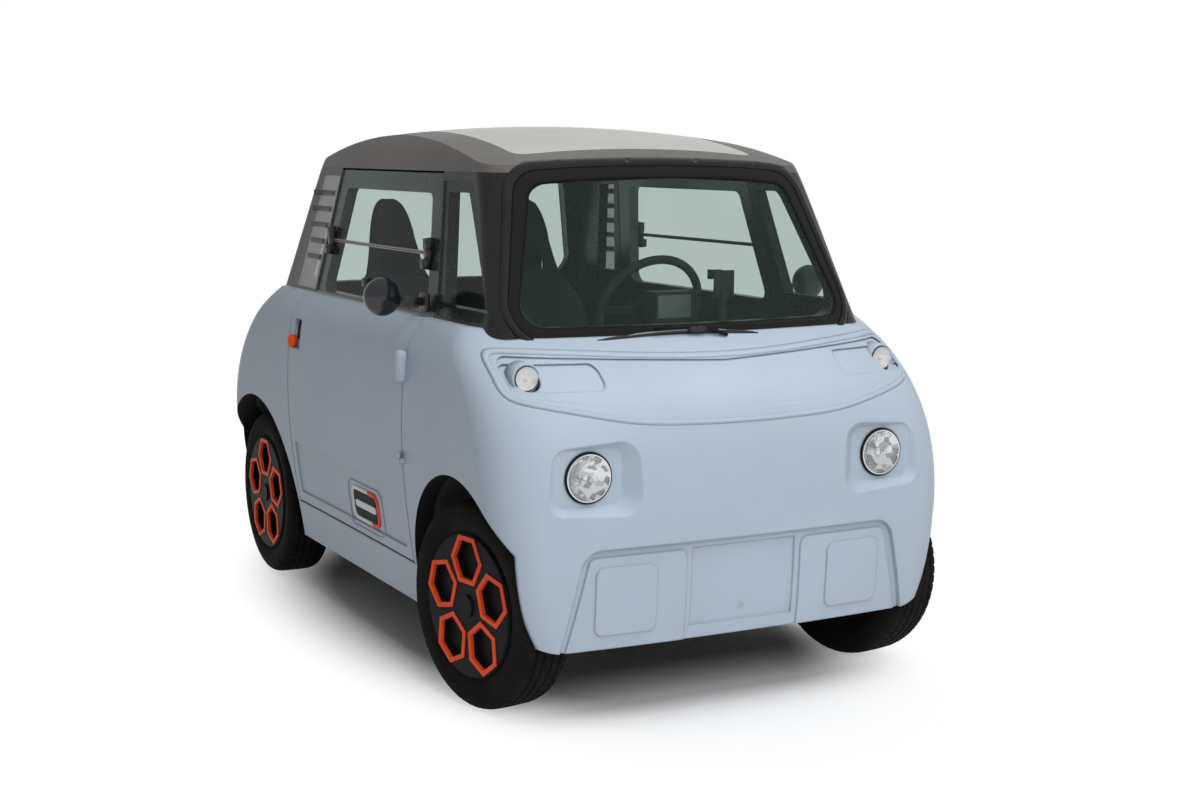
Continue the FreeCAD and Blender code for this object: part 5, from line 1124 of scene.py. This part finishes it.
def smooth_loop(points, rounds=3):
    """Cuts a closed polygon's corners until it reads as a curve."""
    for _ in range(rounds):
        points = [a.lerp(b, share) for a, b in zip(points, points[1:] + points[:1]) for share in (0.25, 0.75)]
    return points


def grow_loop(loop, amount):
    """Moves each point of a loop square to the loop's own line."""
    out = []
    for i, here in enumerate(loop):
        along = (loop[(i + 1) % len(loop)] - loop[i - 1]).normalized()
        out.append(here + Vector((along.y, -along.x)) * amount)
    return out


smooth_band = spread_evenly(smooth_loop(band_outline), 220)
bead_loops = [grow_loop(smooth_band, amount) for amount in (0.009, 0.006, 0.002, -0.002, -0.005, -0.007)]
for facing, end in ENDS:
    end_band(f"band_bead_{end}", [NODES["end_panels"]], bead_loops, (-0.001, 0.0018, 0.0034, 0.0034, 0.0016, -0.001),
             facing, body_finish)
boss = [(-0.002, 0.009), (0.0015, 0.009), (0.0022, 0.0082), (0.0022, 0.0052), (0.0008, 0.0045), (0.0008, 0.0)]
for facing, end in ENDS:
    place, normal = first_hit([NODES["end_panels"]], (facing * BEYOND_X, 0, BOSS_HEIGHT), (-facing, 0, 0))
    turn_piece(f"plate_boss_{end}", boss, 32, place, normal, body_finish, "car_body", "body_colour")
print("bead length:", round(sum((b - a).length for a, b in zip(smooth_band, smooth_band[1:])), 2), "m")

# %% [markdown]
# ## Wiper
# The wiper is a single long blade with a sprung arm. The blade is a bar with a
# thin rubber edge that lies on the glass, and the arm rises from a spindle near
# the middle and clips to the blade's back.

# %% Build the wiper
BAR_SECTION = ((1, -0.6), (1, 0.4), (0.6, 1), (-0.6, 1), (-1, 0.4), (-1, -0.6), (-0.5, -1), (0.5, -1))


def glass_point(y, z, lift):
    """A place on the windscreen, moved off it by lift, and the glass's normal there."""
    place, normal = first_hit([NODES["windscreen"], NODES["pillar_frame"]], (BEYOND_X, y, z), (-1, 0, 0))
    return place + normal * lift, normal


def glass_bar(name, points, material, half_width, low, high):
    """A bar that follows the glass through (y, z) points, between two lifts."""
    centres = [glass_point(y, z, (low + high) / 2) for y, z in points]
    line = [centre for centre, _ in centres]
    rings = []
    for k, (centre, normal) in enumerate(centres):
        across = normal.cross(heading_at(line, k)).normalized()
        size = half_width * (0.55 if k in (0, len(centres) - 1) else 1.0)
        rings.append([centre + across * size * c + normal * (high - low) / 2 * s for c, s in BAR_SECTION])
    return skin_piece(name, rings, material, "car_body")


def along_blade(places, rise=0.0):
    """Points on the blade's gentle arch along the base of the glass."""
    return [(y, 0.981 - 0.30 * (y + 0.06) ** 2 + rise) for y in places]


blade_places = [-0.330 + 0.500 * k / 24 for k in range(25)]
arm_points = [(0.062, 0.962), (0.045, 0.968), (0.020, 0.978), (-0.004, 0.986), (-0.030, 0.9875), (-0.090, 0.989),
              (-0.150, 0.9855)]
blade = glass_bar("wiper_blade", along_blade(blade_places), black_trim, 0.0050, 0.004, 0.013)
glass_bar("wiper_rubber", along_blade(blade_places[1:-1], -0.004), seal_rubber, 0.0016, 0.0008, 0.005)
glass_bar("wiper_spring", along_blade(blade_places[5:20], 0.001), pale_grey, 0.0016, 0.013, 0.0150)
glass_bar("wiper_clip", along_blade((-0.052, -0.036, -0.016, 0.0), 0.001), black_trim, 0.0095, 0.010, 0.026)
glass_bar("wiper_arm", arm_points, seal_rubber, 0.0055, 0.017, 0.026)
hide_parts("wiper")
print("wiper blade:", round(blade_places[-1] - blade_places[0], 2), "m")

# %% [markdown]
# ## Small things on the dashboard
# A pale panel closes the back of the display, a shallow pale tray stands beside
# it, and a clamp for a telephone stands on a neck ahead of the steering wheel.
# These show through the windscreen as small light and dark marks.

# %% Furnish the dashboard
slab("display_back", (0.454, 0.150, 0.966), (0.458, 0.262, 1.034), pale_grey, "car_body", 0.0015)
slab("display_rim", (0.4535, 0.143, 0.955), (0.4555, 0.287, 1.041), cabin_dark, "car_body", 0.001)
slab("dash_tray", (0.585, -0.160, 0.924), (0.665, -0.045, 0.968), pale_grey, "car_body", 0.008)
slab("dash_tray_floor", (0.575, -0.320, 0.923), (0.700, 0.130, 0.930), cabin_dark, "car_body", 0.003)
neck = [(0.0, 0.0), (0.0, 0.030), (0.006, 0.029), (0.010, 0.012), (0.110, 0.010), (0.130, 0.014), (0.138, 0.0)]
turn_piece("clamp_neck", neck, 32, (0.640, 0.262, 0.925), (0, 0, 1), black_trim, "car_body", "dark_plastic")
slab("clamp_back", (0.632, 0.232, 1.035), (0.642, 0.300, 1.118), black_trim, "car_body", 0.004)
slab("clamp_jaw_upper", (0.618, 0.236, 1.108), (0.640, 0.262, 1.120), black_trim, "car_body", 0.003)
slab("clamp_jaw_lower", (0.618, 0.236, 1.034), (0.640, 0.296, 1.044), black_trim, "car_body", 0.003)
print("dashboard pieces: 8")
